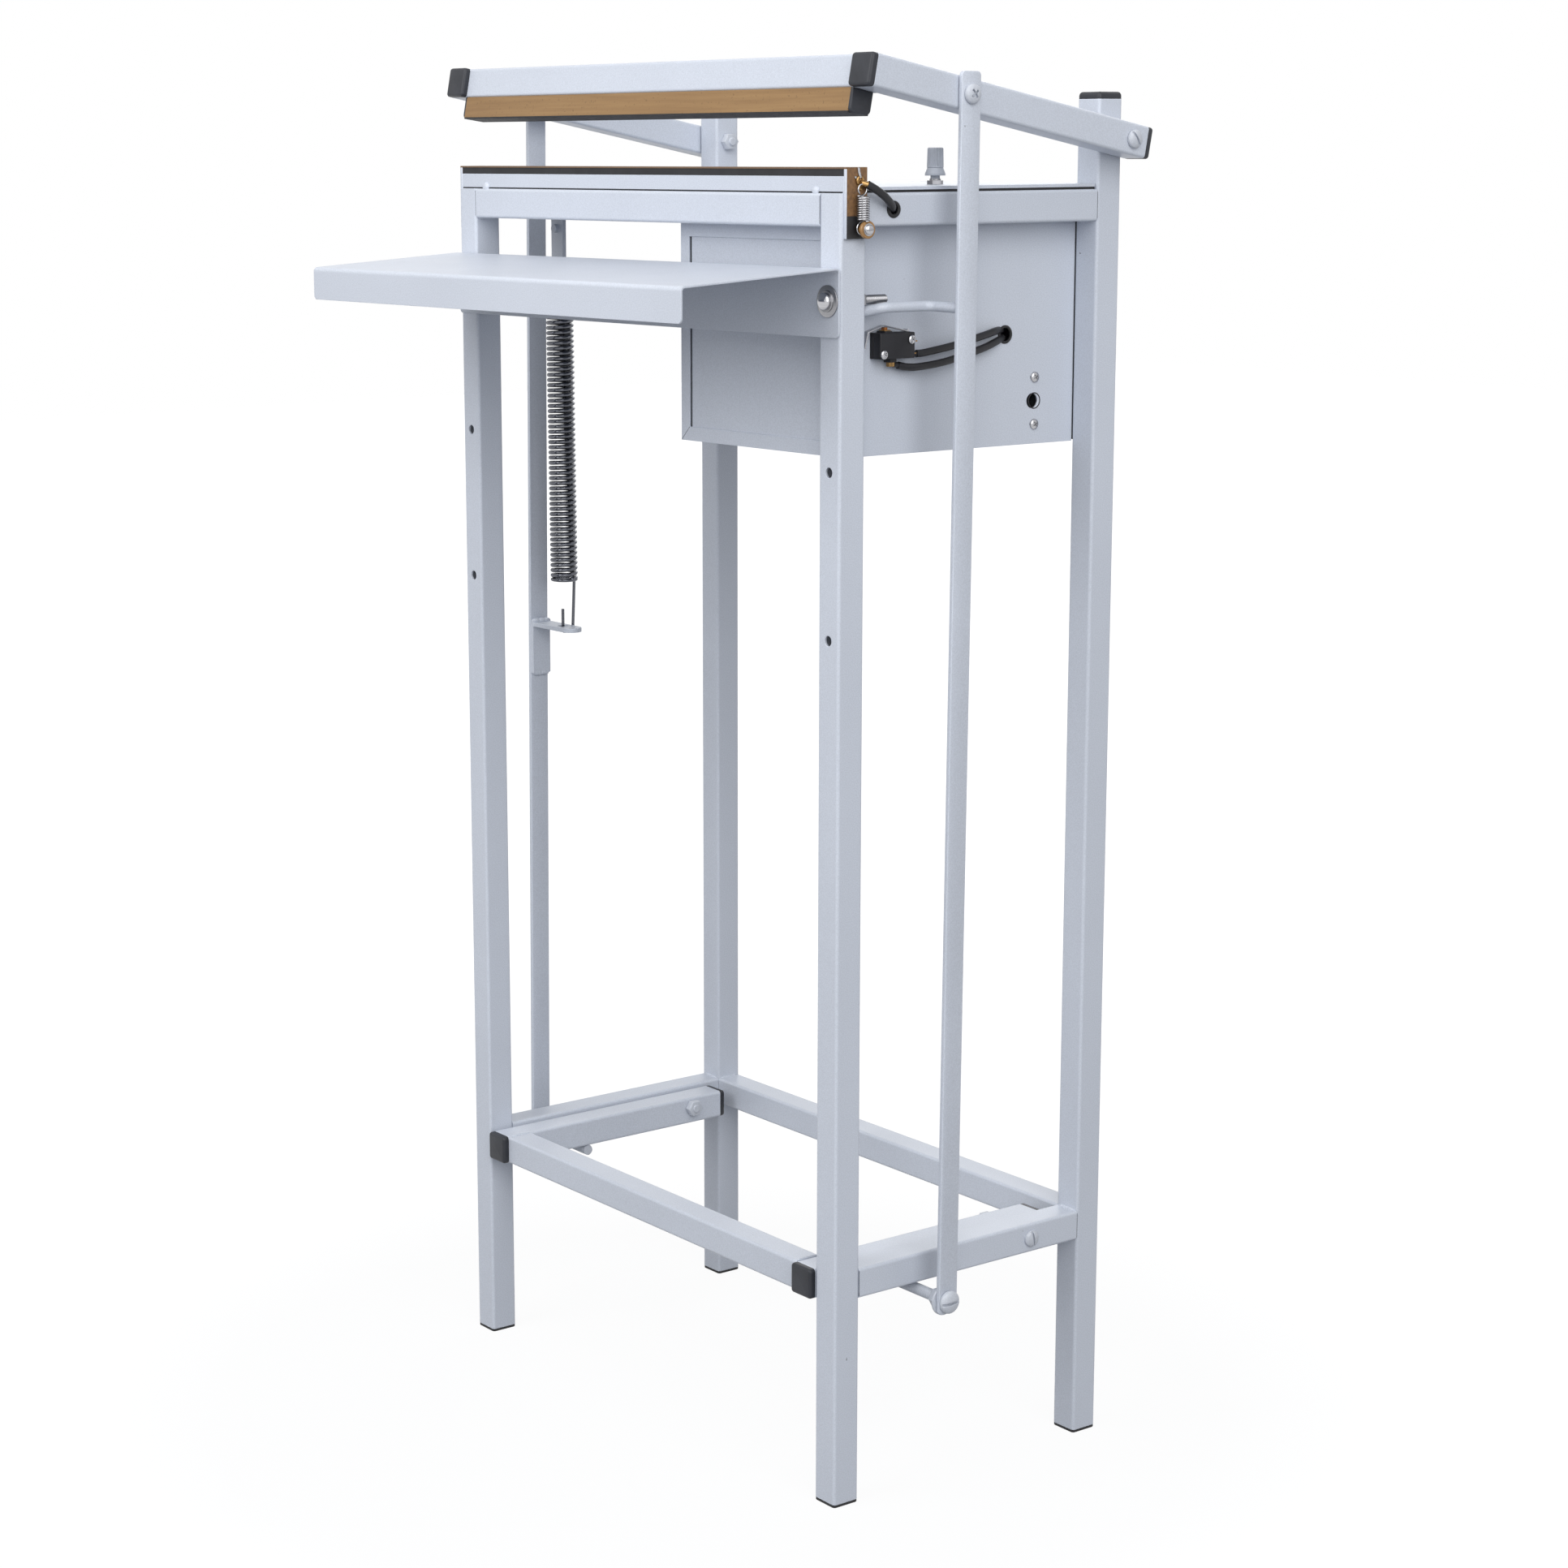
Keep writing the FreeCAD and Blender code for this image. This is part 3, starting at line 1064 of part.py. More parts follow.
# Upper jaw: two side arms outside the legs, a front bar and the presser bar under it
arm_tail_at = ("arm_middle", "rear_leg_y + arm_tail * cos(arm_rest_angle)",
               "jaw_pivot_height - arm_tail * sin(arm_rest_angle)")
arm_front_at = ("arm_middle", "rear_leg_y - arm_reach * cos(arm_rest_angle)",
                "jaw_pivot_height + arm_reach * sin(arm_rest_angle)")
jaw_arm_blank = tube("jaw_arm_blank", "arm_tail + arm_reach", arm_tail_at, ARM_FORWARD)
jaw_arm_pivot_hole = rod("jaw_arm_pivot_hole", "pivot_bolt_size / 2 + pivot_play", "tube_size + 2",
                         ("arm_inner - 1", "rear_leg_y", "jaw_pivot_height"), ALONG_X)
rod_screw_hole = rod("rod_screw_hole", "pivot_bolt_size / 2", "tube_size + 2",
                     ("arm_inner - 1", "rod_pin_y", "rod_pin_z"), ALONG_X)
jaw_right_arm = cut("jaw_right_arm", jaw_arm_blank, [jaw_arm_pivot_hole, rod_screw_hole])
keep(jaw_right_arm, mirrored("jaw_left_arm", jaw_right_arm))
bar_back = "(arm_reach - tube_size / 2)"
keep(tube("jaw_front_bar", "2 * arm_inner",
          ("-arm_inner", f"rear_leg_y - {bar_back} * cos(arm_rest_angle)",
           f"jaw_pivot_height + {bar_back} * sin(arm_rest_angle)"), ARM_ACROSS))
contact = v.jaw_top + v.seal_clearance - v.jaw_pivot_height
closed = math.radians(v.arm_closed_angle)


def contact_drop(reach):
    """Height, in the arm's own frame, of the plane that meets the lower jaw when closed."""
    return (contact - reach * math.sin(closed)) / math.cos(closed)


presser_front = v.arm_reach
presser_back = v.arm_reach - v.presser_depth
tube_under = -v.tube_size / 2
strip_line = [(-presser_front, contact_drop(presser_front)), (-presser_back, contact_drop(presser_back))]
bar_line = [(y, z + v.presser_strip_thick) for y, z in strip_line]
presser_outline = bar_line + [(-presser_back, tube_under), (-presser_front, tube_under)]
strip_outline = strip_line + bar_line[::-1]
jaw_turn = (("X", "-arm_rest_angle"),)
jaw_at = ("0", "rear_leg_y", "jaw_pivot_height")
for label, outline in (("presser_bar", presser_outline), ("presser_strip", strip_outline)):
    keep(place(feature(label, extruded(outline, -v.leg_outer, v.frame_width)), jaw_at, jaw_turn))
end_outline = strip_line + presser_outline[2:]
presser_end = place(feature("presser_end", extruded(end_outline, v.leg_outer, v.cap_rim)), jaw_at,
                    jaw_turn)
jaw_front_cap = cap("jaw_front_cap", "cap_rise", arm_front_at, ARM_FORWARD)
jaw_rear_cap = cap("jaw_rear_cap", "cap_rise", arm_tail_at, ARM_BACKWARD)
keep(group("jaw_caps", [both_sides("jaw_front_caps", jaw_front_cap), both_sides("jaw_rear_caps",
                                                                                jaw_rear_cap),
                        both_sides("presser_ends", presser_end)]))
jaw_pivot_bolt = fastener("jaw_pivot_bolt",
                          ("pivot_bolt_size / 2", "arm_outer + seat_gap - leg_inner + nut_height + 2"),
                          ("pivot_bolt_size * 0.95", "pivot_bolt_size * 0.6"),
                          ("arm_outer + seat_gap", "rear_leg_y", "jaw_pivot_height"), ALONG_X,
                          nut=("nut_radius", "nut_height", "arm_outer + seat_gap - leg_inner"))
keep(both_sides("jaw_pivot_bolts", jaw_pivot_bolt))
rod_screw = fastener("rod_screw", ("pivot_bolt_size / 2",
                                   "rod_outer + seat_gap - arm_inner + nut_height + 1"),
                     ("pivot_bolt_size", "pivot_bolt_size * 0.6"),
                     ("rod_outer + seat_gap", "rod_pin_y", "rod_pin_z"), ALONG_X,
                     nut=("nut_radius", "nut_height", "rod_outer + seat_gap - arm_inner"))
rod_spacer = rod("rod_spacer", "pivot_bolt_size * 0.9", "rod_gap - seat_gap",
                 ("arm_outer", "rod_pin_y", "rod_pin_z"),
                 ALONG_X)
keep(both_sides("rod_screws", fuse("rod_screw_set", [rod_screw, rod_spacer])))

# Pull rods, the spring lug on the left one and the switch actuator on the right one
right_pull_rod = flat_bar("right_pull_rod", "rod_length", ("rod_inner", "rod_bolt_y", "rod_bolt_z"),
                          (("X", "-rod_lean"),), "rod_bolt_size / 2 + rod_bolt_play",
                          "pivot_bolt_size / 2 + pivot_play")
keep(right_pull_rod, mirrored("left_pull_rod", right_pull_rod))
lug_leg_box = box("lug_leg_box",
                  ("rod_inner - rod_thick", "spring_y - rod_width / 2", "lug_top - lug_leg"),
                  ("rod_thick", "rod_width", "lug_leg"))
lug_tab = box("lug_tab",
              ("rod_inner - lug_reach + rod_width / 2", "spring_y - rod_width / 2", "lug_height"),
              ("lug_reach - rod_width / 2 - 1", "rod_width", "rod_thick"))
lug_end = rod("lug_end", "rod_width / 2", "rod_thick",
              ("rod_inner - lug_reach + rod_width / 2", "spring_y", "lug_height"), UP)
lug_hole = rod("lug_hole", "lug_hole_size / 2", "rod_thick + 2",
               ("spring_x", "spring_y", "lug_height - 1"), UP)
lug = cut("right_lug", fuse("lug_blank", [lug_leg_box, lug_tab, lug_end]), [lug_hole])
keep(mirrored("spring_lug", lug))
actuator_x = v.leg_inner + v.switch_width + v.actuator_size / 2 + v.actuator_clear
foot_y = v.lever_pivot_y - v.lever_foot + thick
actuator_path = rounded_path([
    Vector(v.rod_inner + 1, v.actuator_root_y, v.actuator_root),
    Vector(actuator_x, v.actuator_root_y - v.actuator_size, v.actuator_height),
    Vector(actuator_x, foot_y + v.actuator_size * 1.7, v.actuator_height),
    Vector(v.plunger_x, foot_y, v.actuator_height - v.actuator_dip),
], v.actuator_size * 1.3)
beyond_rod = Part.makeBox(v.tube_size, v.tube_size, v.tube_size,
                          Vector(v.rod_inner, v.actuator_root_y - v.tube_size / 2,
                                 v.actuator_root - v.tube_size / 2))
keep(feature("switch_actuator", swept(actuator_path, v.actuator_size / 2).cut(beyond_rod)))

doc.recompute()
faulty = [item.Name for item in doc.Objects if {"Invalid", "Error"} & set(item.State)]
for item in nodes:
    if item.Shape.isNull() or not item.Shape.isValid():
        faulty.append(item.Label)
if faulty:
    raise RuntimeError("These pieces did not build: " + ", ".join(faulty))

os.makedirs("parts", exist_ok=True)
for item in nodes:
    item.Shape.exportStep(f"parts/{item.Label}.step")
bounds = Part.makeCompound([item.Shape for item in nodes]).BoundBox
print(len(nodes), "pieces", bounds)
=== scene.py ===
import json
import math
import random

import bmesh
import bpy
from mathutils import Matrix, Vector


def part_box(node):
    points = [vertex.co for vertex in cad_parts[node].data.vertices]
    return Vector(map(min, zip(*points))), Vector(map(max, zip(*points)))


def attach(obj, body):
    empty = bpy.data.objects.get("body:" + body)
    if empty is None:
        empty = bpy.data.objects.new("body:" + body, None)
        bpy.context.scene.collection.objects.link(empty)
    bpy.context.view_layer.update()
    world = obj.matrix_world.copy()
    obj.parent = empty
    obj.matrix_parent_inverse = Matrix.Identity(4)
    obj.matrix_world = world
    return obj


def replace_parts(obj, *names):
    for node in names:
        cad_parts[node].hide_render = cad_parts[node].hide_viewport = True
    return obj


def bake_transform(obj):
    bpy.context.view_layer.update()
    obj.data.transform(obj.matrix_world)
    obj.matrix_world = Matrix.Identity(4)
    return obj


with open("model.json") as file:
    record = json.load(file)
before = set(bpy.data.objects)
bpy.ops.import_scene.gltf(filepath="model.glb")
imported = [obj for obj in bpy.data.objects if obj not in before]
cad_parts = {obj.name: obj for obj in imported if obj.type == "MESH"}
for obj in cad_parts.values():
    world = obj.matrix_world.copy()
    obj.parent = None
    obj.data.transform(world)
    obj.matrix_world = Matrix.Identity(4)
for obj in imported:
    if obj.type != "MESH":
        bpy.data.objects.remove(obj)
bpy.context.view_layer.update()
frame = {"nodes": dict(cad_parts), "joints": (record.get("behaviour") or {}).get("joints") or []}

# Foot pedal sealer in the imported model's frame: metres, +Z up, front towards -Y.
MM = 0.001
SIDES = (1, -1)  # the machine's right and left
IN_PLACE = Matrix.Identity(4)
JOINT_PLACES = {joint["name"]: joint.get("pos_m") for joint in frame["joints"]}

# The stand in millimetres: half widths to the tubes' outer and inner faces, and rail heights
STAND_OUTER = 210
STAND_INNER = 190
LEG_CENTRE = 200
TUBE = 20
LOW_RAIL = 138.5
TOP_RAIL = 816


def in_mm(points):
    """Points or (radius, height) pairs given in millimetres, as metres."""
    return [tuple(part * MM for part in point) for point in points]


# Camera at the photograph's angle
CAMERA_PLACE = (1.74103, -1.31096, 0.86523)
CAMERA_YAW = math.radians(143.951)
CAMERA_PITCH = math.radians(11.104)
CAMERA_ROLL = math.radians(-0.322)
CAMERA_LENS = 74.81
CAMERA_SENSOR = 36
CAMERA_SHIFT = 0.0803
CAMERA_REACH = 60


def place_camera():
    level = math.cos(CAMERA_PITCH)
    forward = Vector((level * math.cos(CAMERA_YAW), level * math.sin(CAMERA_YAW), -math.sin(CAMERA_PITCH)))
    right = Vector((math.sin(CAMERA_YAW), -math.cos(CAMERA_YAW), 0))
    up = right.cross(forward)
    rolled_right = right * math.cos(CAMERA_ROLL) + up * math.sin(CAMERA_ROLL)
    rolled_up = up * math.cos(CAMERA_ROLL) - right * math.sin(CAMERA_ROLL)
    data = bpy.data.cameras.new("camera")
    data.lens = CAMERA_LENS
    data.sensor_width = CAMERA_SENSOR
    data.shift_x = CAMERA_SHIFT
    data.clip_end = CAMERA_REACH
    camera = bpy.data.objects.new("camera", data)
    turn = Matrix((rolled_right, rolled_up, -forward)).transposed().to_4x4()
    camera.matrix_world = Matrix.Translation(CAMERA_PLACE) @ turn
    bpy.context.scene.collection.objects.link(camera)
    bpy.context.scene.camera = camera


# Light, floor and backdrop
AMBIENT = (0.96, 0.975, 1.0, 1)
AMBIENT_STRENGTH = 0.3
PURE_WHITE = (1, 1, 1, 1)
LAMP_TARGET = (0, 0, 0.5)
LAMPS = (  # name, place, side length in metres, power in watts
    ("front", (-0.1, -1.9, 1.7), 1.5, 27),
    ("side", (2.4, -0.9, 1.95), 2.5, 57),
    ("rear", (-1.9, 2.8, 2.2), 2.4, 22),
    ("top", (0.2, -0.3, 2.4), 1.4, 7),
)
FLOOR_SIZE = 16
FLOOR_COLOR = (0.31, 0.32, 0.34, 1)
FLOOR_GLOW = 1.12
SHADOW_REACH = (0.35, 1.1)  # the glow's share rises over this distance from the object
GLOW_SHARE = (0.84, 1.0)


def area_light(name, place, size, power):
    data = bpy.data.lights.new(name, "AREA")
    data.shape = "SQUARE"
    data.size = size
    data.energy = power
    light = bpy.data.objects.new(name, data)
    light.location = place
    light.rotation_euler = (Vector(LAMP_TARGET) - Vector(place)).to_track_quat("-Z", "Y").to_euler()
    bpy.context.scene.collection.objects.link(light)


def seen_rays(tree):
    """1 for camera and glossy rays, which see a white backdrop, and 0 for the rest."""
    paths = tree.nodes.new("ShaderNodeLightPath")
    seen = tree.nodes.new("ShaderNodeMath")
    seen.operation = "MAXIMUM"
    tree.links.new(paths.outputs["Is Camera Ray"], seen.inputs[0])
    tree.links.new(paths.outputs["Is Glossy Ray"], seen.inputs[1])
    return seen.outputs[0]


def blended_output(tree, share, first, second, output):
    mix = tree.nodes.new("ShaderNodeMixShader")
    out = tree.nodes.new(output)
    tree.links.new(share, mix.inputs[0])
    tree.links.new(first.outputs[0], mix.inputs[1])
    tree.links.new(second.outputs[0], mix.inputs[2])
    tree.links.new(mix.outputs[0], out.inputs[0])


def light_scene():
    world = bpy.data.worlds.new("studio")
    bpy.context.scene.world = world
    world.use_nodes = True
    tree = world.node_tree
    tree.nodes.clear()
    lit = tree.nodes.new("ShaderNodeBackground")
    lit.inputs["Color"].default_value = AMBIENT
    lit.inputs["Strength"].default_value = AMBIENT_STRENGTH
    shown = tree.nodes.new("ShaderNodeBackground")
    shown.inputs["Color"].default_value = PURE_WHITE
    shown.inputs["Strength"].default_value = 1
    blended_output(tree, seen_rays(tree), lit, shown, "ShaderNodeOutputWorld")
    for lamp in LAMPS:
        area_light(*lamp)


def make_floor():
    bpy.ops.mesh.primitive_plane_add(size=FLOOR_SIZE, location=(0, 0, 0))
    floor = bpy.context.object
    floor.name = "floor"
    cover = bpy.data.materials.new("floor_white")
    cover.use_nodes = True
    tree = cover.node_tree
    tree.nodes.clear()
    diffuse = tree.nodes.new("ShaderNodeBsdfDiffuse")
    diffuse.inputs["Color"].default_value = FLOOR_COLOR
    glow = tree.nodes.new("ShaderNodeEmission")
    glow.inputs["Color"].default_value = PURE_WHITE
    glow.inputs["Strength"].default_value = FLOOR_GLOW
    place = tree.nodes.new("ShaderNodeNewGeometry")
    reach = tree.nodes.new("ShaderNodeVectorMath")
    reach.operation = "LENGTH"
    tree.links.new(place.outputs["Position"], reach.inputs[0])
    away = tree.nodes.new("ShaderNodeMapRange")
    away.inputs["From Min"].default_value, away.inputs["From Max"].default_value = SHADOW_REACH
    away.inputs["To Min"].default_value, away.inputs["To Max"].default_value = GLOW_SHARE
    tree.links.new(reach.outputs["Value"], away.inputs["Value"])
    share = tree.nodes.new("ShaderNodeMath")
    share.operation = "MULTIPLY"
    tree.links.new(seen_rays(tree), share.inputs[0])
    tree.links.new(away.outputs["Result"], share.inputs[1])
    blended_output(tree, share.outputs[0], diffuse, glow, "ShaderNodeOutputMaterial")
    floor.data.materials.append(cover)


# Material parts. Noise comes as (scale, detail), colours as linear RGB.
BLACK = (0, 0, 0)
WHITE = (1, 1, 1)
LAMINATE_BLACK = (0.012, 0.012, 0.014)
SOFT_EDGE = 0.0007
GRAIN_SHARE = 0.5


def shaded(color, share):
    return tuple(min(1, part * share) for part in color)


def surface(name, color, roughness=0.5, metallic=0.0):
    made = bpy.data.materials.new(name)
    made.use_nodes = True
    shader = made.node_tree.nodes["Principled BSDF"]
    shader.inputs["Base Color"].default_value = (*color, 1)
    shader.inputs["Roughness"].default_value = roughness
    shader.inputs["Metallic"].default_value = metallic
    return made, made.node_tree, shader


def noise(tree, scale, detail=2.0, stretch=None):
    place = tree.nodes.new("ShaderNodeTexCoord")
    texture = tree.nodes.new("ShaderNodeTexNoise")
    texture.inputs["Scale"].default_value = scale
    texture.inputs["Detail"].default_value = detail
    source = place.outputs["Object"]
    if stretch:
        mapping = tree.nodes.new("ShaderNodeMapping")
        mapping.inputs["Scale"].default_value = stretch
        tree.links.new(source, mapping.inputs["Vector"])
        source = mapping.outputs["Vector"]
    tree.links.new(source, texture.inputs["Vector"])
    return texture.outputs["Fac"]


def ramp(tree, value, between, colors):
    blend = tree.nodes.new("ShaderNodeValToRGB")
    for element, position, color in zip(blend.color_ramp.elements, between, colors):
        element.position = position
        element.color = (*color, 1)
    tree.links.new(value, blend.inputs["Fac"])
    return blend.outputs["Color"]


def mixed(tree, share, first, second):
    mix = tree.nodes.new("ShaderNodeMix")
    mix.data_type = "RGBA"
    tree.links.new(share, mix.inputs["Factor"])
    color_sockets = mix.inputs[6:8]
    for socket, value in zip(color_sockets, (first, second)):
        if isinstance(value, tuple):
            socket.default_value = (*value, 1)
        else:
            tree.links.new(value, socket)
    return mix.outputs[2]


def bumped(tree, shader, height, strength, distance, soften=0.0):
    bump = tree.nodes.new("ShaderNodeBump")
    bump.inputs["Strength"].default_value = strength
    bump.inputs["Distance"].default_value = distance
    tree.links.new(height, bump.inputs["Height"])
    if soften:
        edge = tree.nodes.new("ShaderNodeBevel")
        edge.samples = 4
        edge.inputs["Radius"].default_value = soften
        tree.links.new(edge.outputs["Normal"], bump.inputs["Normal"])
    tree.links.new(bump.outputs["Normal"], shader.inputs["Normal"])


def rough_from(tree, shader, value, low, high):
    spread = tree.nodes.new("ShaderNodeMapRange")
    spread.inputs["To Min"].default_value = low
    spread.inputs["To Max"].default_value = high
    tree.links.new(value, spread.inputs["Value"])
    tree.links.new(spread.outputs["Result"], shader.inputs["Roughness"])


def edge_mask(tree, radius, flat_match=0.995, edge_match=0.86):
    """1 on sharp edges, 0 on faces."""
    edge = tree.nodes.new("ShaderNodeBevel")
    edge.samples = 6
    edge.inputs["Radius"].default_value = radius
    flat = tree.nodes.new("ShaderNodeNewGeometry")
    match = tree.nodes.new("ShaderNodeVectorMath")
    match.operation = "DOT_PRODUCT"
    tree.links.new(edge.outputs["Normal"], match.inputs[0])
    tree.links.new(flat.outputs["Normal"], match.inputs[1])
    spread = tree.nodes.new("ShaderNodeMapRange")
    spread.inputs["From Min"].default_value = flat_match
    spread.inputs["From Max"].default_value = edge_match
    tree.links.new(match.outputs["Value"], spread.inputs["Value"])
    return spread.outputs["Result"]


# Materials
def powder_paint(name, color, chips=True):
    """Light powder coat: fine pebble, faint clouding, edges painted paler as a highlight, and a few dark chips."""
    made, tree, shader = surface(name, color, roughness=0.4)
    shader.inputs["Specular IOR Level"].default_value = 0.5
    cloudy = (shaded(color, 0.94), shaded(color, 1.03))
    grainy = (shaded(color, 0.84), shaded(color, 1.12))
    chipped = shaded(color, 0.35)
    edge_highlight = shaded(color, 1.35)
    coat = ramp(tree, noise(tree, scale=9, detail=3), (0.35, 0.7), cloudy)
    grain = ramp(tree, noise(tree, scale=1300, detail=1), (0.28, 0.72), grainy)
    half = tree.nodes.new("ShaderNodeValue")
    half.outputs[0].default_value = GRAIN_SHARE
    finish = mixed(tree, half.outputs[0], coat, grain)
    if chips:
        spots = ramp(tree, noise(tree, scale=95, detail=5), (0.765, 0.78), (BLACK, WHITE))
        finish = mixed(tree, spots, finish, chipped)
    # painted highlight: sharp edges are made paler
    finish = mixed(tree, edge_mask(tree, SOFT_EDGE), finish, edge_highlight)
    tree.links.new(finish, shader.inputs["Base Color"])
    rough_from(tree, shader, noise(tree, scale=30, detail=3), low=0.33, high=0.46)
    pebble = noise(tree, scale=700, detail=2)
    bumped(tree, shader, pebble, strength=0.2, distance=0.0004, soften=SOFT_EDGE)
    return made


def moulded(name, color, roughness, grain=900, depth=0.12):
    """Moulded plastic or rubber with a fine grain."""
    made, tree, shader = surface(name, color, roughness)
    shader.inputs["Specular IOR Level"].default_value = 0.3
    cloudy = (shaded(color, 0.8), shaded(color, 1.25))
    shade = ramp(tree, noise(tree, scale=60, detail=4), (0.3, 0.75), cloudy)
    tree.links.new(shade, shader.inputs["Base Color"])
    rough_from(tree, shader, noise(tree, scale=180, detail=3), roughness - 0.06, roughness + 0.08)
    bumped(tree, shader, noise(tree, scale=grain, detail=2), depth, distance=0.0004, soften=0.0005)
    return made


def metal(name, color, roughness, streak=(40, 40, 900), depth=0.05):
    """Bare or plated metal with faint streaks."""
    made, tree, shader = surface(name, color, roughness, metallic=1.0)
    streaky = (shaded(color, 0.82), color)
    shade = ramp(tree, noise(tree, scale=1, detail=3, stretch=streak), (0.3, 0.7), streaky)
    tree.links.new(shade, shader.inputs["Base Color"])
    smoothest = max(0.04, roughness - 0.06)
    rough_from(tree, shader, noise(tree, scale=220, detail=4), smoothest, roughness + 0.1)
    bumped(tree, shader, noise(tree, scale=600, detail=2), depth, distance=0.0002, soften=0.0003)
    return made


def laminate(name, light, dark, dark_below=None):
    """Ochre pressed laminate with streaks along X; below a height it is black."""
    made, tree, shader = surface(name, light, roughness=0.42)
    fibres = noise(tree, scale=1, detail=5, stretch=(14, 420, 420))
    streaks = ramp(tree, fibres, (0.3, 0.72), (dark, light))
    flecks = ramp(tree, noise(tree, scale=520, detail=3), (0.62, 0.72), (BLACK, WHITE))
    finish = mixed(tree, flecks, streaks, shaded(dark, 0.8))
    if dark_below:
        place = tree.nodes.new("ShaderNodeTexCoord")
        split = tree.nodes.new("ShaderNodeSeparateXYZ")
        tree.links.new(place.outputs["Object"], split.inputs[0])
        below = tree.nodes.new("ShaderNodeMath")
        below.operation = "LESS_THAN"
        below.inputs[1].default_value = dark_below
        tree.links.new(split.outputs["Z"], below.inputs[0])
        finish = mixed(tree, below.outputs[0], finish, LAMINATE_BLACK)
    tree.links.new(finish, shader.inputs["Base Color"])
    relief = noise(tree, scale=1, detail=4, stretch=(30, 900, 900))
    bumped(tree, shader, relief, strength=0.16, distance=0.0003, soften=0.0005)
    return made


def woven(name, color, pitch, roughness=0.6, depth=0.35):
    """A plain weave from two crossed waves, of one thread pitch."""
    made, tree, shader = surface(name, color, roughness)
    bands_per_metre = 0.314 / pitch
    place = tree.nodes.new("ShaderNodeTexCoord")
    waves = []
    for direction in ("X", "Y"):
        wave = tree.nodes.new("ShaderNodeTexWave")
        wave.bands_direction = direction
        wave.inputs["Scale"].default_value = bands_per_metre
        wave.inputs["Distortion"].default_value = 0.6
        tree.links.new(place.outputs["Object"], wave.inputs["Vector"])
        waves.append(wave.outputs["Fac"])
    cross = tree.nodes.new("ShaderNodeMath")
    cross.operation = "MAXIMUM"
    tree.links.new(waves[0], cross.inputs[0])
    tree.links.new(waves[1], cross.inputs[1])
    shade = ramp(tree, cross.outputs[0], (0.2, 0.9), (shaded(color, 0.55), color))
    tree.links.new(shade, shader.inputs["Base Color"])
    bumped(tree, shader, cross.outputs[0], depth, distance=0.0004)
    return made


PLATE_BLACK_BELOW = 0.8225
CLOTH_PITCH = 0.0006

paint = powder_paint("paint", (0.6, 0.638, 0.715))
bolt_paint = powder_paint("bolt_paint", (0.56, 0.59, 0.65), chips=False)
cap_black = moulded("cap_black", (0.028, 0.03, 0.037), roughness=0.42)
switch_black = moulded("switch_black", (0.014, 0.014, 0.017), roughness=0.5, grain=1400)
sleeve_black = moulded("sleeve_black", (0.016, 0.016, 0.019), roughness=0.38)
rubber_black = moulded("rubber_black", (0.02, 0.02, 0.022), roughness=0.6)
shadow_gap = moulded("shadow_gap", (0.03, 0.032, 0.038), roughness=0.8)
ochre = laminate("ochre_laminate", light=(0.31, 0.18, 0.068), dark=(0.24, 0.13, 0.045))
end_laminate = laminate("end_laminate", light=(0.25, 0.13, 0.05), dark=(0.13, 0.065, 0.027),
                        dark_below=PLATE_BLACK_BELOW)
bush_laminate = laminate("bush_laminate", light=(0.40, 0.22, 0.08), dark=(0.27, 0.14, 0.05))
brown_cloth = woven("brown_cloth", (0.20, 0.115, 0.06), CLOTH_PITCH)
chrome = metal("chrome", (0.5, 0.5, 0.52), roughness=0.14)
zinc = metal("zinc", (0.32, 0.32, 0.335), roughness=0.28)
bright_steel = metal("bright_steel", (0.46, 0.46, 0.48), roughness=0.22)
spring_steel = metal("spring_steel", (0.125, 0.13, 0.148), roughness=0.17)
brass = metal("brass", (0.36, 0.22, 0.09), roughness=0.3)
knob_grey = moulded("knob_grey", (0.4, 0.425, 0.475), roughness=0.45)
plunger_brown = moulded("plunger_brown", (0.33, 0.12, 0.03), roughness=0.4)
board_green = moulded("board_green", (0.03, 0.16, 0.07), roughness=0.35)
core_dark = metal("core_dark", (0.12, 0.12, 0.13), roughness=0.5)
winding_tape = moulded("winding_tape", (0.45, 0.3, 0.08), roughness=0.5)

# Nodes that aren't painted
NODE_FINISH = {
    # painted shade: the deck gasket is a black strip, modelled as a gasket, that stands in for the shade in the gap
    # under the top cover
    "deck_gasket": rubber_black,
    "insulation_strip": rubber_black,
    "presser_strip": rubber_black,
    "presser_bar": ochre,
    "heating_ribbon": bright_steel,
    "cloth_cover": brown_cloth,
    "jaw_end_plates": end_laminate,
    "heater_leads": sleeve_black,
    "switch_leads": sleeve_black,
    "transformer_core": core_dark,
    "transformer_winding": winding_tape,
    "timer_board": board_green,
    "timer_potentiometer": zinc,
    "timer_knob": knob_grey,
    "switch_plunger": plunger_brown,
    "switch_lever": bright_steel,
    "return_spring_hook": spring_steel,
}


def finish_nodes():
    for name, node in frame["nodes"].items():
        node.data.materials.clear()
        node.data.materials.append(NODE_FINISH.get(name, paint))


# Mesh helpers
CREASE = 40
ROUND_FORM = 180  # no sharp edges at all


def piece(name, mesh_data, finish, body=None, smooth=CREASE):
    """Turn a bmesh into a scene object that rides on a body."""
    data = bpy.data.meshes.new(name)
    mesh_data.to_mesh(data)
    mesh_data.free()
    made = bpy.data.objects.new(name, data)
    bpy.context.scene.collection.objects.link(made)
    data.materials.append(finish)
    data.shade_smooth()
    data.set_sharp_from_angle(angle=math.radians(smooth))
    if body:
        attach(made, body)
    return made


def skin(made, rings, capped=True):
    """Faces between rings of equal count, with both ends closed if capped."""
    for low, high in zip(rings, rings[1:]):
        for step in range(len(low)):
            after = (step + 1) % len(low)
            made.faces.new((low[step], low[after], high[after], high[step]))
    if capped:
        made.faces.new(rings[0][::-1])
        made.faces.new(rings[-1])


def eased(made, edges, offset, segments):
    bmesh.ops.bevel(made, geom=edges, offset=offset, segments=segments, profile=0.5, affect="EDGES")


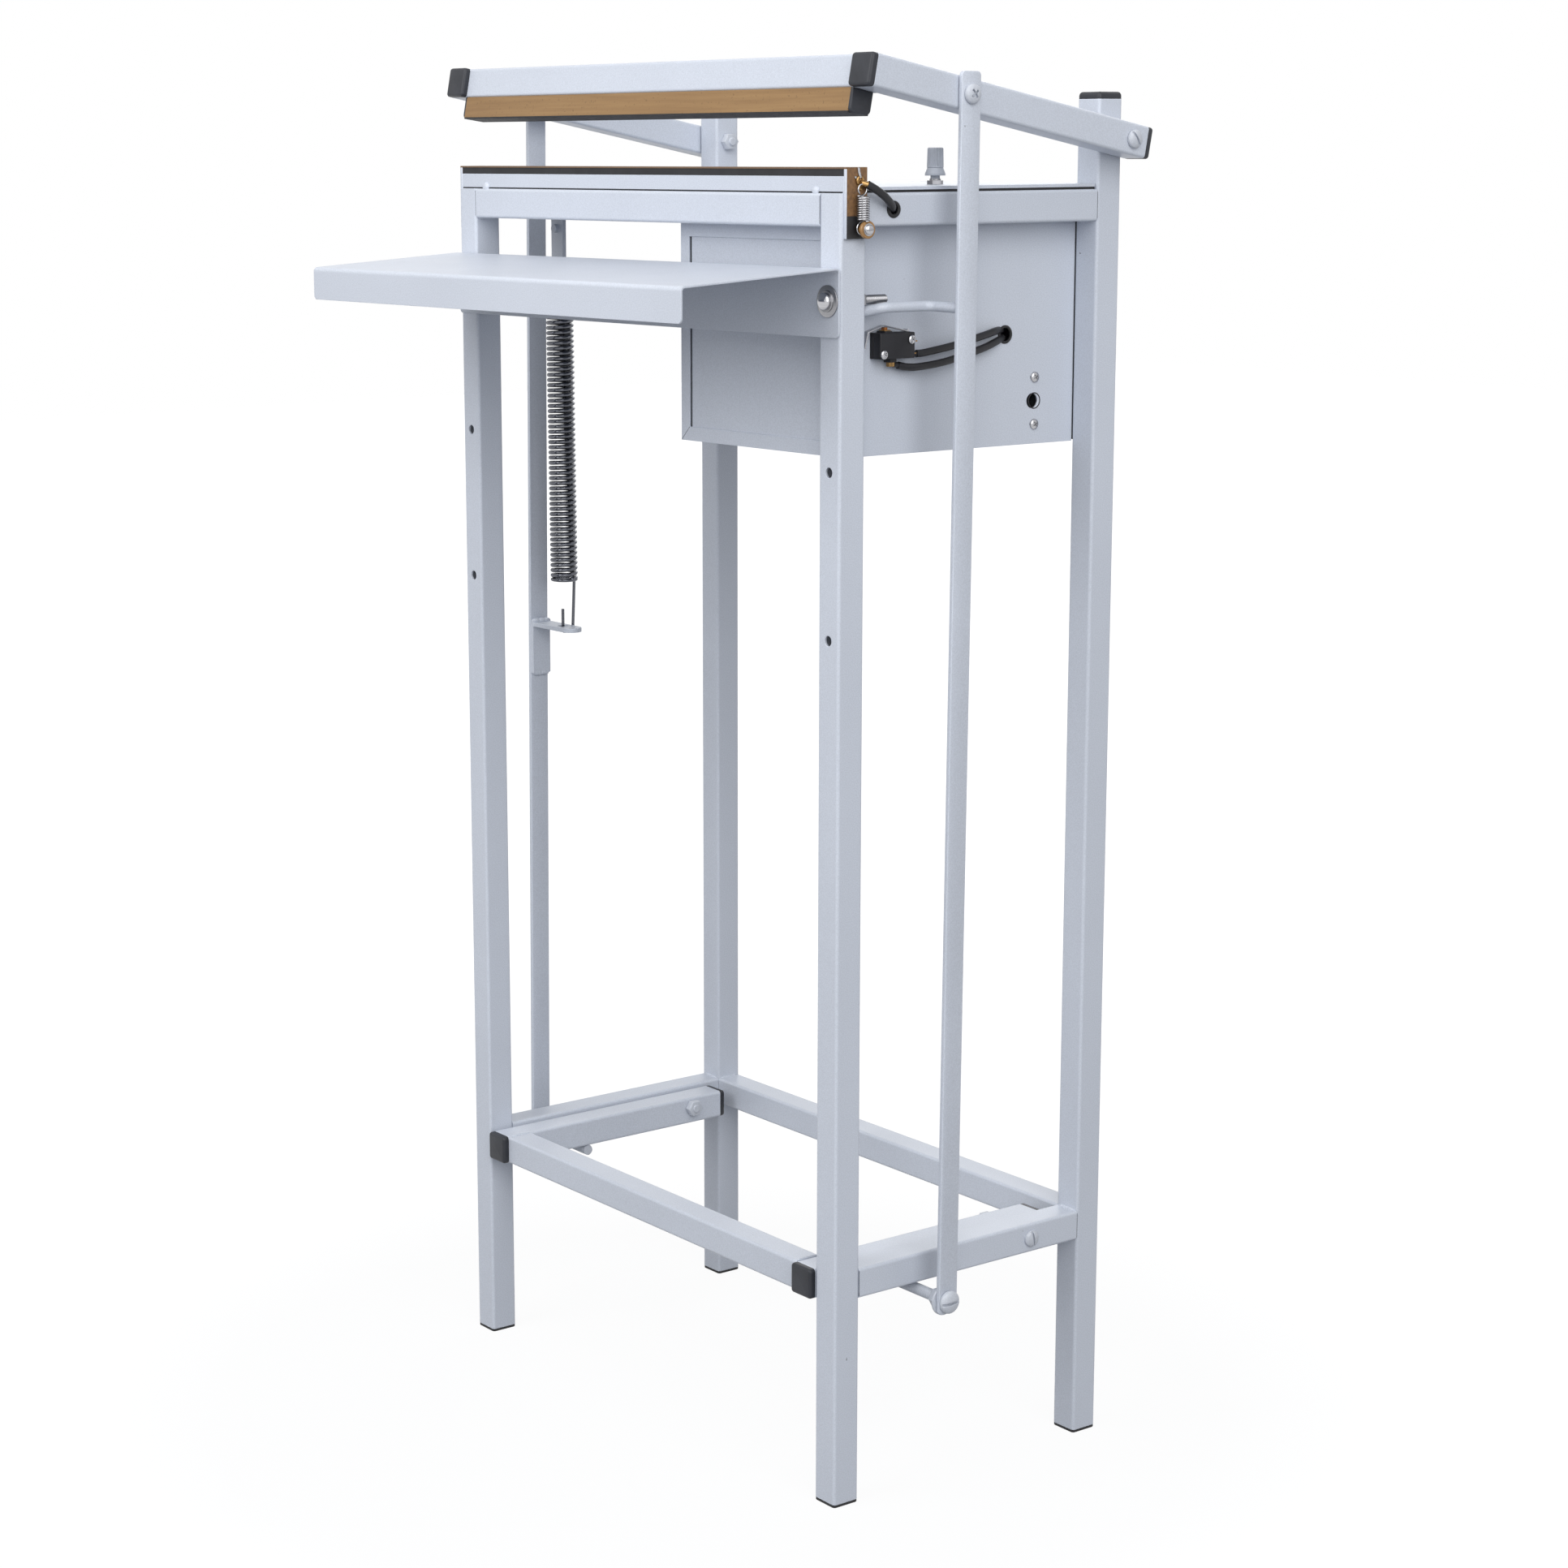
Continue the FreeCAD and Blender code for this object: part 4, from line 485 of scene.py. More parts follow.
def spans(edge, axis):
    """How far an edge runs along an axis."""
    first, second = edge.verts
    return abs(first.co[axis] - second.co[axis])


def lathe(profile, segments=32):
    """A turned solid about Z from (radius, height) pairs."""
    made = bmesh.new()
    rings = []
    for radius, height in profile:
        if radius < 1e-9:
            rings.append([made.verts.new((0, 0, height))])
            continue
        ring = []
        for step in range(segments):
            turn = 2 * math.pi * step / segments
            ring.append(made.verts.new((radius * math.cos(turn), radius * math.sin(turn), height)))
        rings.append(ring)
    for low, high in zip(rings, rings[1:]):
        for step in range(segments):
            after = (step + 1) % segments
            corners = [low[step % len(low)], low[after % len(low)]]
            corners += [high[after % len(high)], high[step % len(high)]]
            distinct = list(dict.fromkeys(corners))
            if len(distinct) > 2:
                made.faces.new(distinct)
    bmesh.ops.recalc_face_normals(made, faces=made.faces)
    return made


def merged(parts):
    """Join parts into one bmesh: each is a bmesh, or a bmesh and the matrix that places it."""
    whole = bmesh.new()
    for part in parts:
        shape, matrix = part if isinstance(part, tuple) else (part, IN_PLACE)
        data = bpy.data.meshes.new("part")
        shape.to_mesh(data)
        shape.free()
        data.transform(matrix)
        whole.from_mesh(data)
        bpy.data.meshes.remove(data)
    bmesh.ops.recalc_face_normals(whole, faces=whole.faces)
    return whole


def carved(base, cutter):
    """base minus cutter, both bmeshes, by an exact boolean."""
    objects = []
    for part in (base, cutter):
        data = bpy.data.meshes.new("carving")
        part.to_mesh(data)
        part.free()
        made = bpy.data.objects.new("carving", data)
        bpy.context.scene.collection.objects.link(made)
        objects.append(made)
    change = objects[0].modifiers.new("cut", "BOOLEAN")
    change.operation = "DIFFERENCE"
    change.solver = "EXACT"
    change.object = objects[1]
    shown = objects[0].evaluated_get(bpy.context.evaluated_depsgraph_get())
    result = bmesh.new()
    result.from_mesh(shown.to_mesh())
    shown.to_mesh_clear()
    for made in objects:
        data = made.data
        bpy.data.objects.remove(made)
        bpy.data.meshes.remove(data)
    return result


def block(low, high, bevel=0.0, segments=2):
    made = bmesh.new()
    bmesh.ops.create_cube(made, size=1)
    extent = Vector(high) - Vector(low)
    middle = (Vector(high) + Vector(low)) / 2
    for vert in made.verts:
        vert.co = Vector(vert.co[axis] * extent[axis] + middle[axis] for axis in range(3))
    if bevel:
        eased(made, made.edges[:], bevel, segments)
    return made


def tube_along(points, radius, sides=12, closed_ends=True):
    """A round wire along points, carried without twist."""
    made = bmesh.new()
    points = [Vector(point) for point in points]
    rings = []
    side = None
    for index, point in enumerate(points):
        before = points[max(index - 1, 0)]
        after = points[min(index + 1, len(points) - 1)]
        along = (after - before).normalized()
        if side is None:
            side = along.orthogonal().normalized()
        side = (side - along * side.dot(along)).normalized()
        across = along.cross(side)
        ring = []
        for step in range(sides):
            turn = 2 * math.pi * step / sides
            ring.append(made.verts.new(point + (side * math.cos(turn) + across * math.sin(turn)) * radius))
        rings.append(ring)
    skin(made, rings, closed_ends)
    bmesh.ops.recalc_face_normals(made, faces=made.faces)
    return made


def torus(major, minor, segments=36, sides=10):
    circle = []
    for step in range(segments + 1):
        turn = 2 * math.pi * step / segments
        circle.append((major * math.cos(turn), major * math.sin(turn), 0))
    return tube_along(circle, minor, sides, closed_ends=False)


def threaded(radius, length, pitch, start=0.0, sides=24, levels_per_turn=4):
    """A threaded rod along Z: the ridge climbs one pitch for each turn."""
    made = bmesh.new()
    steps = int(length / pitch * levels_per_turn)
    depth = pitch * 0.5
    rings = []
    for level in range(steps + 1):
        height = length * level / steps
        ring = []
        for step in range(sides):
            turn = step / sides
            phase = (height / pitch - turn) % 1
            reach = radius - depth * abs(2 * phase - 1)
            angle = 2 * math.pi * turn
            ring.append(made.verts.new((reach * math.cos(angle), reach * math.sin(angle), start + height)))
        rings.append(ring)
    skin(made, rings)
    return made


def hexagon(radius, height, chamfer=0.09):
    made = bmesh.new()
    bmesh.ops.create_cone(made, cap_ends=True, segments=6, radius1=radius, radius2=radius, depth=height)
    bmesh.ops.translate(made, verts=made.verts, vec=(0, 0, height / 2))
    rims = [edge for edge in made.edges if spans(edge, 2) < 1e-9]
    eased(made, rims, radius * chamfer, 2)
    return made


# Fasteners, with their sizes in millimetres
WASHER_M8 = ((0, 0), (9.8, 0), (10, 0.25), (10, 1.35), (9.8, 1.6), (0, 1.6))
WASHER_M6 = ((0, 0), (9.5, 0), (9.7, 0.2), (9.7, 1), (9.4, 1.2), (0, 1.2))
SPRING_WASHER = ((0, 0), (6.6, 0), (6.6, 0.9), (6.2, 1.3), (0, 1.3))
BUSH_WASHER = ((0, 0), (3.8, 0), (3.8, 0.5), (0, 0.5))
BUSH_AT = (219, -45.2, 814.5)
BOLT_SEAT = 231.3
ROD_SEAT = 235.3
TRAY_BOLT_HEIGHT = 772
TRAY_GAUGE = 1.2


def dome(radius, height, kind="slot"):
    """A round screw head with its seat at the origin, domed towards +Z."""
    rim, crown, steps = 0.3, 0.7, 8
    profile = [(0, 0), (radius * 0.97, 0), (radius, height * 0.12), (radius, height * rim)]
    for step in range(1, steps + 1):
        turn = math.pi / 2 * step / steps
        profile.append((radius * math.cos(turn), height * (rim + crown * math.sin(turn))))
    head = lathe(profile, 40)
    if kind == "plain":
        return head
    floor, top, width = height - height * 0.55, height * 1.5, radius * 0.13
    if kind == "slot":
        reach = radius * 1.2
        return carved(head, block((-width, -reach, floor), (width, reach, top)))
    arm = radius * 0.52
    cross_turn = 0.35
    for turn in (cross_turn, cross_turn + math.pi / 2):
        head = carved(head, turned(block((-width, -arm, floor), (width, arm, top)), turn))
    return head


def turned(shape, angle):
    bmesh.ops.rotate(shape, verts=shape.verts, cent=(0, 0, 0), matrix=Matrix.Rotation(angle, 3, "Z"))
    return shape


def outward(x, y, z, side):
    """Carry +Z to the machine's outside on one side (1 right, -1 left)."""
    return Matrix.Translation((side * x, y, z)) @ Matrix.Rotation(side * math.pi / 2, 4, "Y")


def raised(at, height):
    return at @ Matrix.Translation((0, 0, height * MM))


def bolt(at, head, turn, shank, nut=None):
    """A slotted bolt: head (radius, rise), shank (radius, length, pitch, start), nut (radius, height, start)."""
    yield turned(dome(*(size * MM for size in head)), turn), at
    radius, length, pitch, start = (size * MM for size in shank)
    yield threaded(radius, length, pitch, start=start), at
    if nut:
        radius, height, start = nut
        yield hexagon(radius * MM, height * MM), raised(at, start)


def jaw_pivot(at, side):
    yield from bolt(at, (5.7, 3.6), -1.0 * side, (2.95, 49, 1, -48.3), (6.3, 5.4, -46.7))


def pedal_pivot(at, side):
    yield from bolt(at, (5.7, 3.6), -1.4, (2.95, 49, 1, -48.5), (6.3, 5.4, -47.7))


def rod_foot(at, side):
    yield from bolt(at, (7.6, 4.8), 0.08, (3.95, 66, 1.25, -65))
    yield lathe(in_mm(WASHER_M8), 48), raised(at, -5.2)
    yield hexagon(7.4 * MM, 6.4 * MM), raised(at, -11.6)


def rod_head(at, side):
    yield turned(dome(6 * MM, 3.6 * MM, "cross"), 0.3), at
    yield threaded(2.9 * MM, 29 * MM, 1 * MM, start=-29 * MM), at
    yield hexagon(5.6 * MM, 5 * MM), raised(at, -29.3)


def bush_screw(at, side):
    yield turned(dome(3.1 * MM, 2.1 * MM), 0.2), raised(at, 0.5)
    yield lathe(in_mm(BUSH_WASHER), 32), at
    yield threaded(1.95 * MM, 8.8 * MM, 0.7 * MM, start=-8.8 * MM), at


def make_bolts():
    jaw = JOINT_PLACES["jaw_hinge"][1:]
    pedal = JOINT_PLACES["pedal_press"][1:]
    pin = JOINT_PLACES["right_rod_pin"][1:]
    low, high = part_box("rod_bolts")
    foot = ((low.y + high.y) / 2, (low.z + high.z) / 2)
    for name, make, place, body, finish in (
        ("jaw_pivot_bolts", jaw_pivot, (BOLT_SEAT * MM, *jaw), "frame", bolt_paint),
        ("pedal_pivot_bolts", pedal_pivot, (STAND_OUTER * MM, *pedal), "frame", bolt_paint),
        ("rod_bolts", rod_foot, (ROD_SEAT * MM, *foot), "pedal", bolt_paint),
        ("rod_screws", rod_head, (ROD_SEAT * MM, *pin), "upper_jaw", bolt_paint),
        ("bush_screws", bush_screw, in_mm([BUSH_AT])[0], "frame", bright_steel),
    ):
        pairs = [part for side in SIDES for part in make(outward(*place, side), side)]
        made = piece(name + "_detail", merged(pairs), finish, body)
        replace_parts(made, name)


def make_tray_bolts():
    forward = Matrix.Rotation(math.pi / 2, 4, "X")
    heads, shanks = [], []
    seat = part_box("tray")[1].y - TRAY_GAUGE * MM
    for side in SIDES:
        at = Matrix.Translation((side * LEG_CENTRE * MM, seat, TRAY_BOLT_HEIGHT * MM)) @ forward
        shanks.append((lathe(in_mm(WASHER_M6), 48), at))
        shanks.append((lathe(in_mm(SPRING_WASHER), 40), raised(at, 1.2)))
        heads.append((dome(5.3 * MM, 4.2 * MM, "plain"), raised(at, 2.3)))
        shanks.append((threaded(2.95 * MM, 45 * MM, 1 * MM, start=-44.6 * MM), at))
        shanks.append((hexagon(5.6 * MM, 5 * MM), raised(at, -26.2)))
    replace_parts(piece("tray_bolts_detail", merged(shanks), zinc, "frame"), "tray_bolts")
    piece("tray_bolt_domes", merged(heads), chrome, "frame")


# Screw places on the switch's case: run along it and rise from its foot
SWITCH_SCREWS = ((2.8, 2.8), (25, 11.4))
OUTLET_SCREWS = (718, 688)
OUTLET_SCREW_REACH = 1.75


def make_box_screws():
    low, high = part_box("microswitch")
    outlet_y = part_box("box_screws")[1].y - OUTLET_SCREW_REACH * MM
    parts = []
    for z in OUTLET_SCREWS:
        at = outward(STAND_INNER * MM, outlet_y, z * MM, 1)
        parts.append((turned(dome(3.4 * MM, 2 * MM, "cross"), 0.2), at))
    for run, rise in SWITCH_SCREWS:
        at = outward(high.x, low.y + run * MM, low.z + (5 + rise) * MM, 1)
        parts.append((turned(dome(2.8 * MM, 1.7 * MM, "cross"), 0.6), at))
    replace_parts(piece("box_screws_detail", merged(parts), bright_steel, "frame"), "box_screws")


# Springs
def helix(centre, radius, low, high, turns, steps=26, flip=1):
    points = []
    count = int(turns * steps)
    for step in range(count + 1):
        share = step / count
        turn = flip * 2 * math.pi * turns * share
        across, along = radius * math.cos(turn), radius * math.sin(turn)
        points.append(Vector((centre[0] + across, centre[1] + along, low + (high - low) * share)))
    return points


def smooth_line(points, steps=8):
    """A curve through points, each span drawn from its four nearest points."""
    points = [Vector(point) for point in points]
    padded = [points[0] * 2 - points[1]] + points + [points[-1] * 2 - points[-2]]
    curve = [points[0]]
    for index in range(1, len(padded) - 2):
        before, start, end, after = padded[index - 1:index + 3]
        slope = end - before
        bend = before * 2 - start * 5 + end * 4 - after
        twist = start * 3 - before - end * 3 + after
        for step in range(1, steps + 1):
            share = step / steps
            curve.append(0.5 * (start * 2 + slope * share + bend * share ** 2 + twist * share ** 3))
    return curve


def loop_points(centre, radius, start, end, steps=20):
    """An arc in the YZ plane between two angles in degrees."""
    points = []
    for step in range(steps + 1):
        turn = math.radians(start + (end - start) * step / steps)
        points.append(Vector((centre[0], centre[1] + radius * math.cos(turn), centre[2] + radius * math.sin(turn))))
    return points


def bridge(first, second, count):
    """The points between two ends, without the ends."""
    return [first.lerp(second, share / count) for share in range(1, count)]


def make_return_spring():
    coil_radius, wire, turns, lean = 8.45 * MM, 1.5 * MM, 58, 1.6 * MM
    end_radius, hook_wire, lug_gauge = 8.75 * MM, 1.15 * MM, 3 * MM
    low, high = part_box("return_spring")
    x, y = (low.x + high.x) / 2, (low.y + high.y) / 2
    base, top = low.z + 0.2 * MM, high.z - 14.5 * MM
    coil = helix((x, y), coil_radius, base, top, turns)
    for point in coil:
        point.y += lean * (top - point.z) / (top - base)
    loop = loop_points((x, y, high.z - 7 * MM), 6 * MM, -60, 270)
    line = coil + bridge(coil[-1], loop[0], 5) + loop
    made = piece("return_spring_coil", tube_along(line, wire, 10), spring_steel, None, ROUND_FORM)
    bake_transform(made)
    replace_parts(made, "return_spring")

    # The hook goes down from the coil's rim, under the lug and up again as a short tip
    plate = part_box("spring_lug")[1].z
    under = plate - lug_gauge
    rim = y + lean + end_radius
    leg = y + 8.7 * MM
    bend = [
        (y, plate + 12.4 * MM),
        (y, plate + 6 * MM),
        (y, plate),
        (y, under),
        (y + 0.3 * MM, under - 0.8 * MM),
        (y + 1.2 * MM, under - 1.3 * MM),
        (y + 4.4 * MM, under - 1.3 * MM),
        (leg - 1.2 * MM, under - 1.2 * MM),
        (leg - 0.3 * MM, under - 0.7 * MM),
        (leg, under),
        (leg + 0.1 * MM, plate),
        (rim - 0.2 * MM, base - 4 * MM),
    ]
    route = [(x, across, height) for across, height in bend] + [(x - 0.5 * MM, rim, base - 1 * MM)]
    ring = []
    for step in range(23):
        turn = step / 12 * math.pi
        ring.append(Vector((x + end_radius * math.sin(turn), y + lean + end_radius * math.cos(turn), base - 0.6 * MM)))
    hook = merged([tube_along(smooth_line(route, 6), hook_wire, 10), tube_along(ring, hook_wire, 10)])
    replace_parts(piece("return_spring_end", hook, spring_steel, "spring_hook", ROUND_FORM), "return_spring_hook")


def make_ribbon_springs():
    wire, loops_x = 0.48 * MM, 214.9
    parts = []
    for side in SIDES:
        centre = (side * 216.8 * MM, -47.6 * MM)
        coil = helix(centre, 3.6 * MM, 819.6 * MM, 834.4 * MM, 10.75, 24, side)
        upper = loop_points((side * loops_x * MM, -46.7 * MM, 838.2 * MM), 3.2 * MM, -80, 235, 24)
        lower = loop_points((side * loops_x * MM, -47.1 * MM, 815.3 * MM), 3.6 * MM, 80, 395, 26)
        line = lower[::-1] + bridge(lower[0], coil[0], 4) + coil + bridge(coil[-1], upper[0], 4) + upper
        parts.append(tube_along(line, wire, 8))
    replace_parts(piece("ribbon_springs_coil", merged(parts), bright_steel, "frame", ROUND_FORM), "ribbon_springs")


# Ribbon terminals: brass tab, crimped lead end, turned bush and rubber rings round the leads
TERMINAL_AT = (-47.1, 843.4)
TERMINAL_LEAF = ((0, 0), (2.7, 0), (2.9, 0.2), (2.7, 0.7), (0, 0.8))
BARREL = ((1.2, 0.9, -1.5), (2.2, 2.3, -1.9), (3.4, 4, -2.5))  # from the plate and the terminal
RIBBON_END = ((0.25, -0.9, 851.0), (0.5, -0.7, 848.5), (1.1, -0.1, 844.9))
BUSH = ((1.9, 0), (2.5, 0.1), (2.5, 4), (5.1, 4.1), (5.4, 4.5), (5.4, 6.2), (5.1, 6.6), (1.9, 6.6), (1.9, 0))
PLATE_EDGE_X = (209.9, 212.5)
PLATE_EDGE_Z = (809, 850.2)
HEATER_LEAD = ((215.9, -43.6, 841.1), (217.2, -38, 838), (217, -31.5, 834.2),
               (215, -25.5, 830.4), (212, -21, 827.5), (207.5, -18, 825.6))
SWITCH_LEADS = (
    ((195.2, 13.4, 737.4), (196, 20, 737.9), (197, 42.9, 741.4), (195.6, 67.9, 746.3),
     (193, 80, 748.4), (187.5, 89.6, 749)),
    ((195, -1.2, 730.9), (195.6, 5, 729.6), (196.6, 13, 729.3), (197.2, 27.9, 730.6),
     (197, 42.9, 733), (195.4, 67.9, 738.4), (193, 81, 741.8), (187.5, 91.2, 743.8)),
)
OUTLET_HEIGHT = 703


def make_terminal(side, plate, tabs, ribbons):
    """The brass tab and ribbon end on one end plate."""
    y, z = (part * MM for part in TERMINAL_AT)
    tabs.append((torus(2.2 * MM, 0.85 * MM, 28, 10), outward(plate + 0.8 * MM, y, z, side)))
    leaf_at = outward(plate, y + 1.1 * MM, z - 2.2 * MM, side) @ Matrix.Scale(1.3, 4, (1, 0, 0))
    tabs.append((lathe(in_mm(TERMINAL_LEAF), 28), leaf_at))
    barrel = [(side * (plate + out * MM), y + back * MM, z + rise * MM) for out, back, rise in BARREL]
    tabs.append(tube_along(barrel, 1.9 * MM, 14))
    strip = [(side * (plate + out * MM), y + back * MM, height * MM) for out, back, height in RIBBON_END]
    ribbons.append(tube_along(strip, 0.85 * MM, 6))
    fold_low = (side * plate - 0.1 * MM, y - 4 * MM, z + 1.2 * MM)
    fold_high = (side * plate + side * 0.9 * MM, y - 2.6 * MM, z + 2.6 * MM)
    ribbons.append(block(fold_low, fold_high, 0.3 * MM))


def make_terminals():
    plate_low, plate_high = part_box("jaw_end_plates")
    plate, front = plate_high.x, plate_low.y
    tabs, ribbons, bushes, edges, leads, rings = [], [], [], [], [], []
    for side in SIDES:
        make_terminal(side, plate, tabs, ribbons)
        bushes.append((lathe(in_mm(BUSH), 44), outward(plate, BUSH_AT[1] * MM, BUSH_AT[2] * MM, side)))
        near, far = sorted(side * x * MM for x in PLATE_EDGE_X)
        foot, top = (z * MM for z in PLATE_EDGE_Z)
        edges.append(block((near, front - 0.05 * MM, foot), (far, front + 0.3 * MM, top), 0.1 * MM))
        route = in_mm((side * x, y, z) for x, y, z in HEATER_LEAD)
        leads.append(tube_along(smooth_line(route), 2.45 * MM, 16))
        rings.append((torus(4.1 * MM, 1.15 * MM), outward(210.1 * MM, -18.2 * MM, 826 * MM, side)))
    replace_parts(piece("ribbon_tabs", merged(tabs), brass, "frame"), "ribbon_terminals")
    piece("ribbon_ends", merged(ribbons), bright_steel, "frame")
    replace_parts(piece("turned_bushes", merged(bushes), bush_laminate, "frame"), "spring_bushes")
    piece("plate_edges", merged(edges), paint, "frame")
    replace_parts(piece("heater_lead_sleeves", merged(leads), sleeve_black, "frame", 60), "heater_leads")

    sleeves = []
    for route in SWITCH_LEADS:
        line = smooth_line(in_mm(route))
        sleeves.append(tube_along(line, 2.35 * MM, 16))
        bare_end = line[0] + (line[0] - line[1]).normalized() * 3 * MM
        sleeves.append(tube_along([bare_end, line[0]], 1.7 * MM, 12))
    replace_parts(piece("switch_lead_sleeves", merged(sleeves), sleeve_black, "frame", 60), "switch_leads")
    rings.append((torus(5.0 * MM, 0.9 * MM), outward(190.2 * MM, 91.4 * MM, 746 * MM, 1)))
    outlet_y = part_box("box_screws")[1].y - OUTLET_SCREW_REACH * MM
    rings.append((torus(4.9 * MM, 0.35 * MM), outward(190.05 * MM, outlet_y, OUTLET_HEIGHT * MM, 1)))
    piece("lead_grommets", merged(rings), rubber_black, "frame")


# Microswitch: moulded case in two halves with brass blades
CASE_LENGTH = 27.8
CASE_HEIGHT = 15.9
CASE_BOSS = ((0, -0.4), (3.1, -0.4), (3.1, 0.02), (2.9, 0.1), (0, 0.1))


def make_switch():
    low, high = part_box("microswitch")
    y, z = low.y, high.z - CASE_HEIGHT * MM
    inner, outer = low.x, high.x
    split = inner + 3 * MM
    middle = (inner + outer) / 2

    def part(near, far, low_yz, high_yz, bevel=0.0, segments=2):
        """A block between two X planes; the rest is in millimetres from the case's lower front edge."""
        first = (near, y + low_yz[0] * MM, z + low_yz[1] * MM)
        second = (far, y + high_yz[0] * MM, z + high_yz[1] * MM)
        return block(first, second, bevel * MM, segments)

    whole = (CASE_LENGTH, CASE_HEIGHT)
    case = [
        part(inner, split - 0.15 * MM, (0, 0), whole, 0.5, 3),
        part(split + 0.15 * MM, outer, (0, 0), whole, 0.7, 3),
        part(inner + 0.8 * MM, outer - 1 * MM, (0.6, 0.6), (27.2, 15.3)),
        part(inner + 1 * MM, outer - 1 * MM, (4.6, 15.4), (10.4, 17), 0.4),
        part(inner + 2 * MM, outer - 2 * MM, (9.6, -2.4), (14.9, 0.4), 0.4),
    ]
    for run, rise in SWITCH_SCREWS:
        case.append((lathe(in_mm(CASE_BOSS), 28), outward(outer - 0.1 * MM, y + run * MM, z + rise * MM, 1)))
    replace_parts(piece("microswitch_case", merged(case), switch_black, "frame", 30), "microswitch")

    left, right = middle - 1.6 * MM, middle + 1.6 * MM
    blades = [part(left, right, (27, height - 0.4), (32.8, height + 0.4), 0.15) for height in (2.5, 10)]
    blades.append(part(left, right, (10.2, -5), (14.4, -0.2), 0.3))
    blades.append(part(inner + 2.5 * MM, outer - 2 * MM, (5, 16.7), (9.8, 17.6), 0.3))
    piece("microswitch_blades", merged(blades), brass, "frame")


# Pull rods: flat bars cut square, with eased corners
ROD_FACES = (232, 235)
ROD_HALF_WIDTH = 7.5
ROD_TOP = 13.5
ROD_BOTTOM = 8


def make_rods():
    low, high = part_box("rod_bolts")
    foot = Vector((0, (low.y + high.y) / 2, (low.z + high.z) / 2))
    pin = Vector((0, *JOINT_PLACES["right_rod_pin"][1:]))
    lean = math.atan2(pin.y - foot.y, pin.z - foot.z)
    reach = (pin - foot).length + ROD_TOP * MM
    near, far = (face * MM for face in ROD_FACES)
    half = ROD_HALF_WIDTH * MM
    for name, body in (("right_pull_rod", "right_rod"), ("left_pull_rod", "left_rod")):
        bar = block((near, -half, -ROD_BOTTOM * MM), (far, half, reach))
        eased(bar, [edge for edge in bar.edges if spans(edge, 0) > 1 * MM], 2.6 * MM, 5)
        eased(bar, [edge for edge in bar.edges if spans(edge, 0) < 0.01 * MM], 0.35 * MM, 2)
        place = Matrix.Translation(foot) @ Matrix.Rotation(-lean, 4, "X")
        if body == "left_rod":
            place = Matrix.Translation((-sum(ROD_FACES) * MM, 0, 0)) @ place
        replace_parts(piece(name + "_bar", merged([(bar, place)]), paint, body, 30), name)


# Painted shade: dark strips in the gap beside the inset panel, behind the box's rear corner and under the jaw's base;
# also dark joint lines between tubes, and mitre lines
def tube_planes():
    """The front legs' back face and the rear legs' front face."""
    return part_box("front_right_leg")[1].y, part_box("rear_right_leg")[0].y


def make_shade_and_joint_lines():
    low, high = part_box("control_box")
    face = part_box("box_front_panel")[0].y
    left, rear = low.x + 9 * MM, high.y
    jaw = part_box("lower_jaw_base")[0]
    # painted shade: dark strips beside the inset panel, behind the box's rear corner and under the jaw's base; then
    # dark joint lines between tubes
    shade_and_joint_strips = [
        block((left, face - 0.25 * MM, low.z + 9 * MM), (left + 1.1 * MM, face + 0.1 * MM, high.z - 29 * MM)),
        block((188.7 * MM, rear + 0.1 * MM, low.z + 1 * MM), (190.7 * MM, rear + 1 * MM, TOP_RAIL * MM)),
        block((-209 * MM, jaw.y - 0.15 * MM, jaw.z - 0.1 * MM), (209 * MM, jaw.y + 1 * MM, jaw.z + 0.95 * MM)),
    ]
    leg_back, rear_front = tube_planes()
    half, stand_out = 0.15, 0.04  # half a line's width, and how far it stands out
    for rail in (LOW_RAIL, TOP_RAIL):
        foot, top = (rail + 1.6) * MM, (rail + 18.4) * MM
        for y in (leg_back, rear_front):
            for side in SIDES:
                x = side * STAND_OUTER * MM
                shade_and_joint_strips.append(block((x - stand_out * MM, y - half * MM, foot), (x + stand_out * MM, y + half * MM, top)))
    for x in (-STAND_INNER, STAND_INNER):
        for rail, y in ((TOP_RAIL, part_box("front_right_leg")[0].y), (LOW_RAIL, rear_front)):
            foot, top = (rail + 1.6) * MM, (rail + 18.4) * MM
            shade_and_joint_strips.append(block(((x - half) * MM, y - stand_out * MM, foot), ((x + half) * MM, y + stand_out * MM, top)))
    piece("shade_and_joint_lines", merged(shade_and_joint_strips), shadow_gap, "frame")

    lines = []
    border = 4.5 * MM
    for x, lean in ((low.x, 1), (high.x, -1)):
        centre = Matrix.Translation((x + lean * border, low.y, low.z + border))
        centre = centre @ Matrix.Rotation(-lean * math.pi / 4, 4, "Y")
        lines.append((block((-6.2 * MM, -0.06 * MM, -0.14 * MM), (6.2 * MM, 0.1 * MM, 0.14 * MM)), centre))
    piece("box_mitres", merged(lines), shadow_gap, "frame")


# Welds, painted over with the frame
def weld(points, radius, seed, sides=8, step_length=0.7):
    """A rippled bead along straight runs between points given in millimetres."""
    spread = random.Random(seed)
    corners = [Vector(point) * MM for point in points]
    made = bmesh.new()
    rings = []
    for start, end in zip(corners, corners[1:]):
        along = (end - start).normalized()
        side = along.orthogonal().normalized()
        across = along.cross(side)
        count = max(4, int((end - start).length / (step_length * MM)))
        for step in range(count + 1):
            share = step / count
            taper = min(1, 0.35 + 6 * min(share, 1 - share))
            ripple = 0.9 + 0.16 * math.sin(step * 1.9) + spread.uniform(-0.1, 0.1)
            swell = radius * MM * taper * ripple
            centre = start.lerp(end, share)
            ring = []
            for corner in range(sides):
                turn = 2 * math.pi * corner / sides
                reach = swell * spread.uniform(0.92, 1.08)
                ring.append(made.verts.new(centre + (side * math.cos(turn) + across * math.sin(turn)) * reach))
            rings.append(ring)
    skin(made, rings)
    bmesh.ops.recalc_face_normals(made, faces=made.faces)
    return made


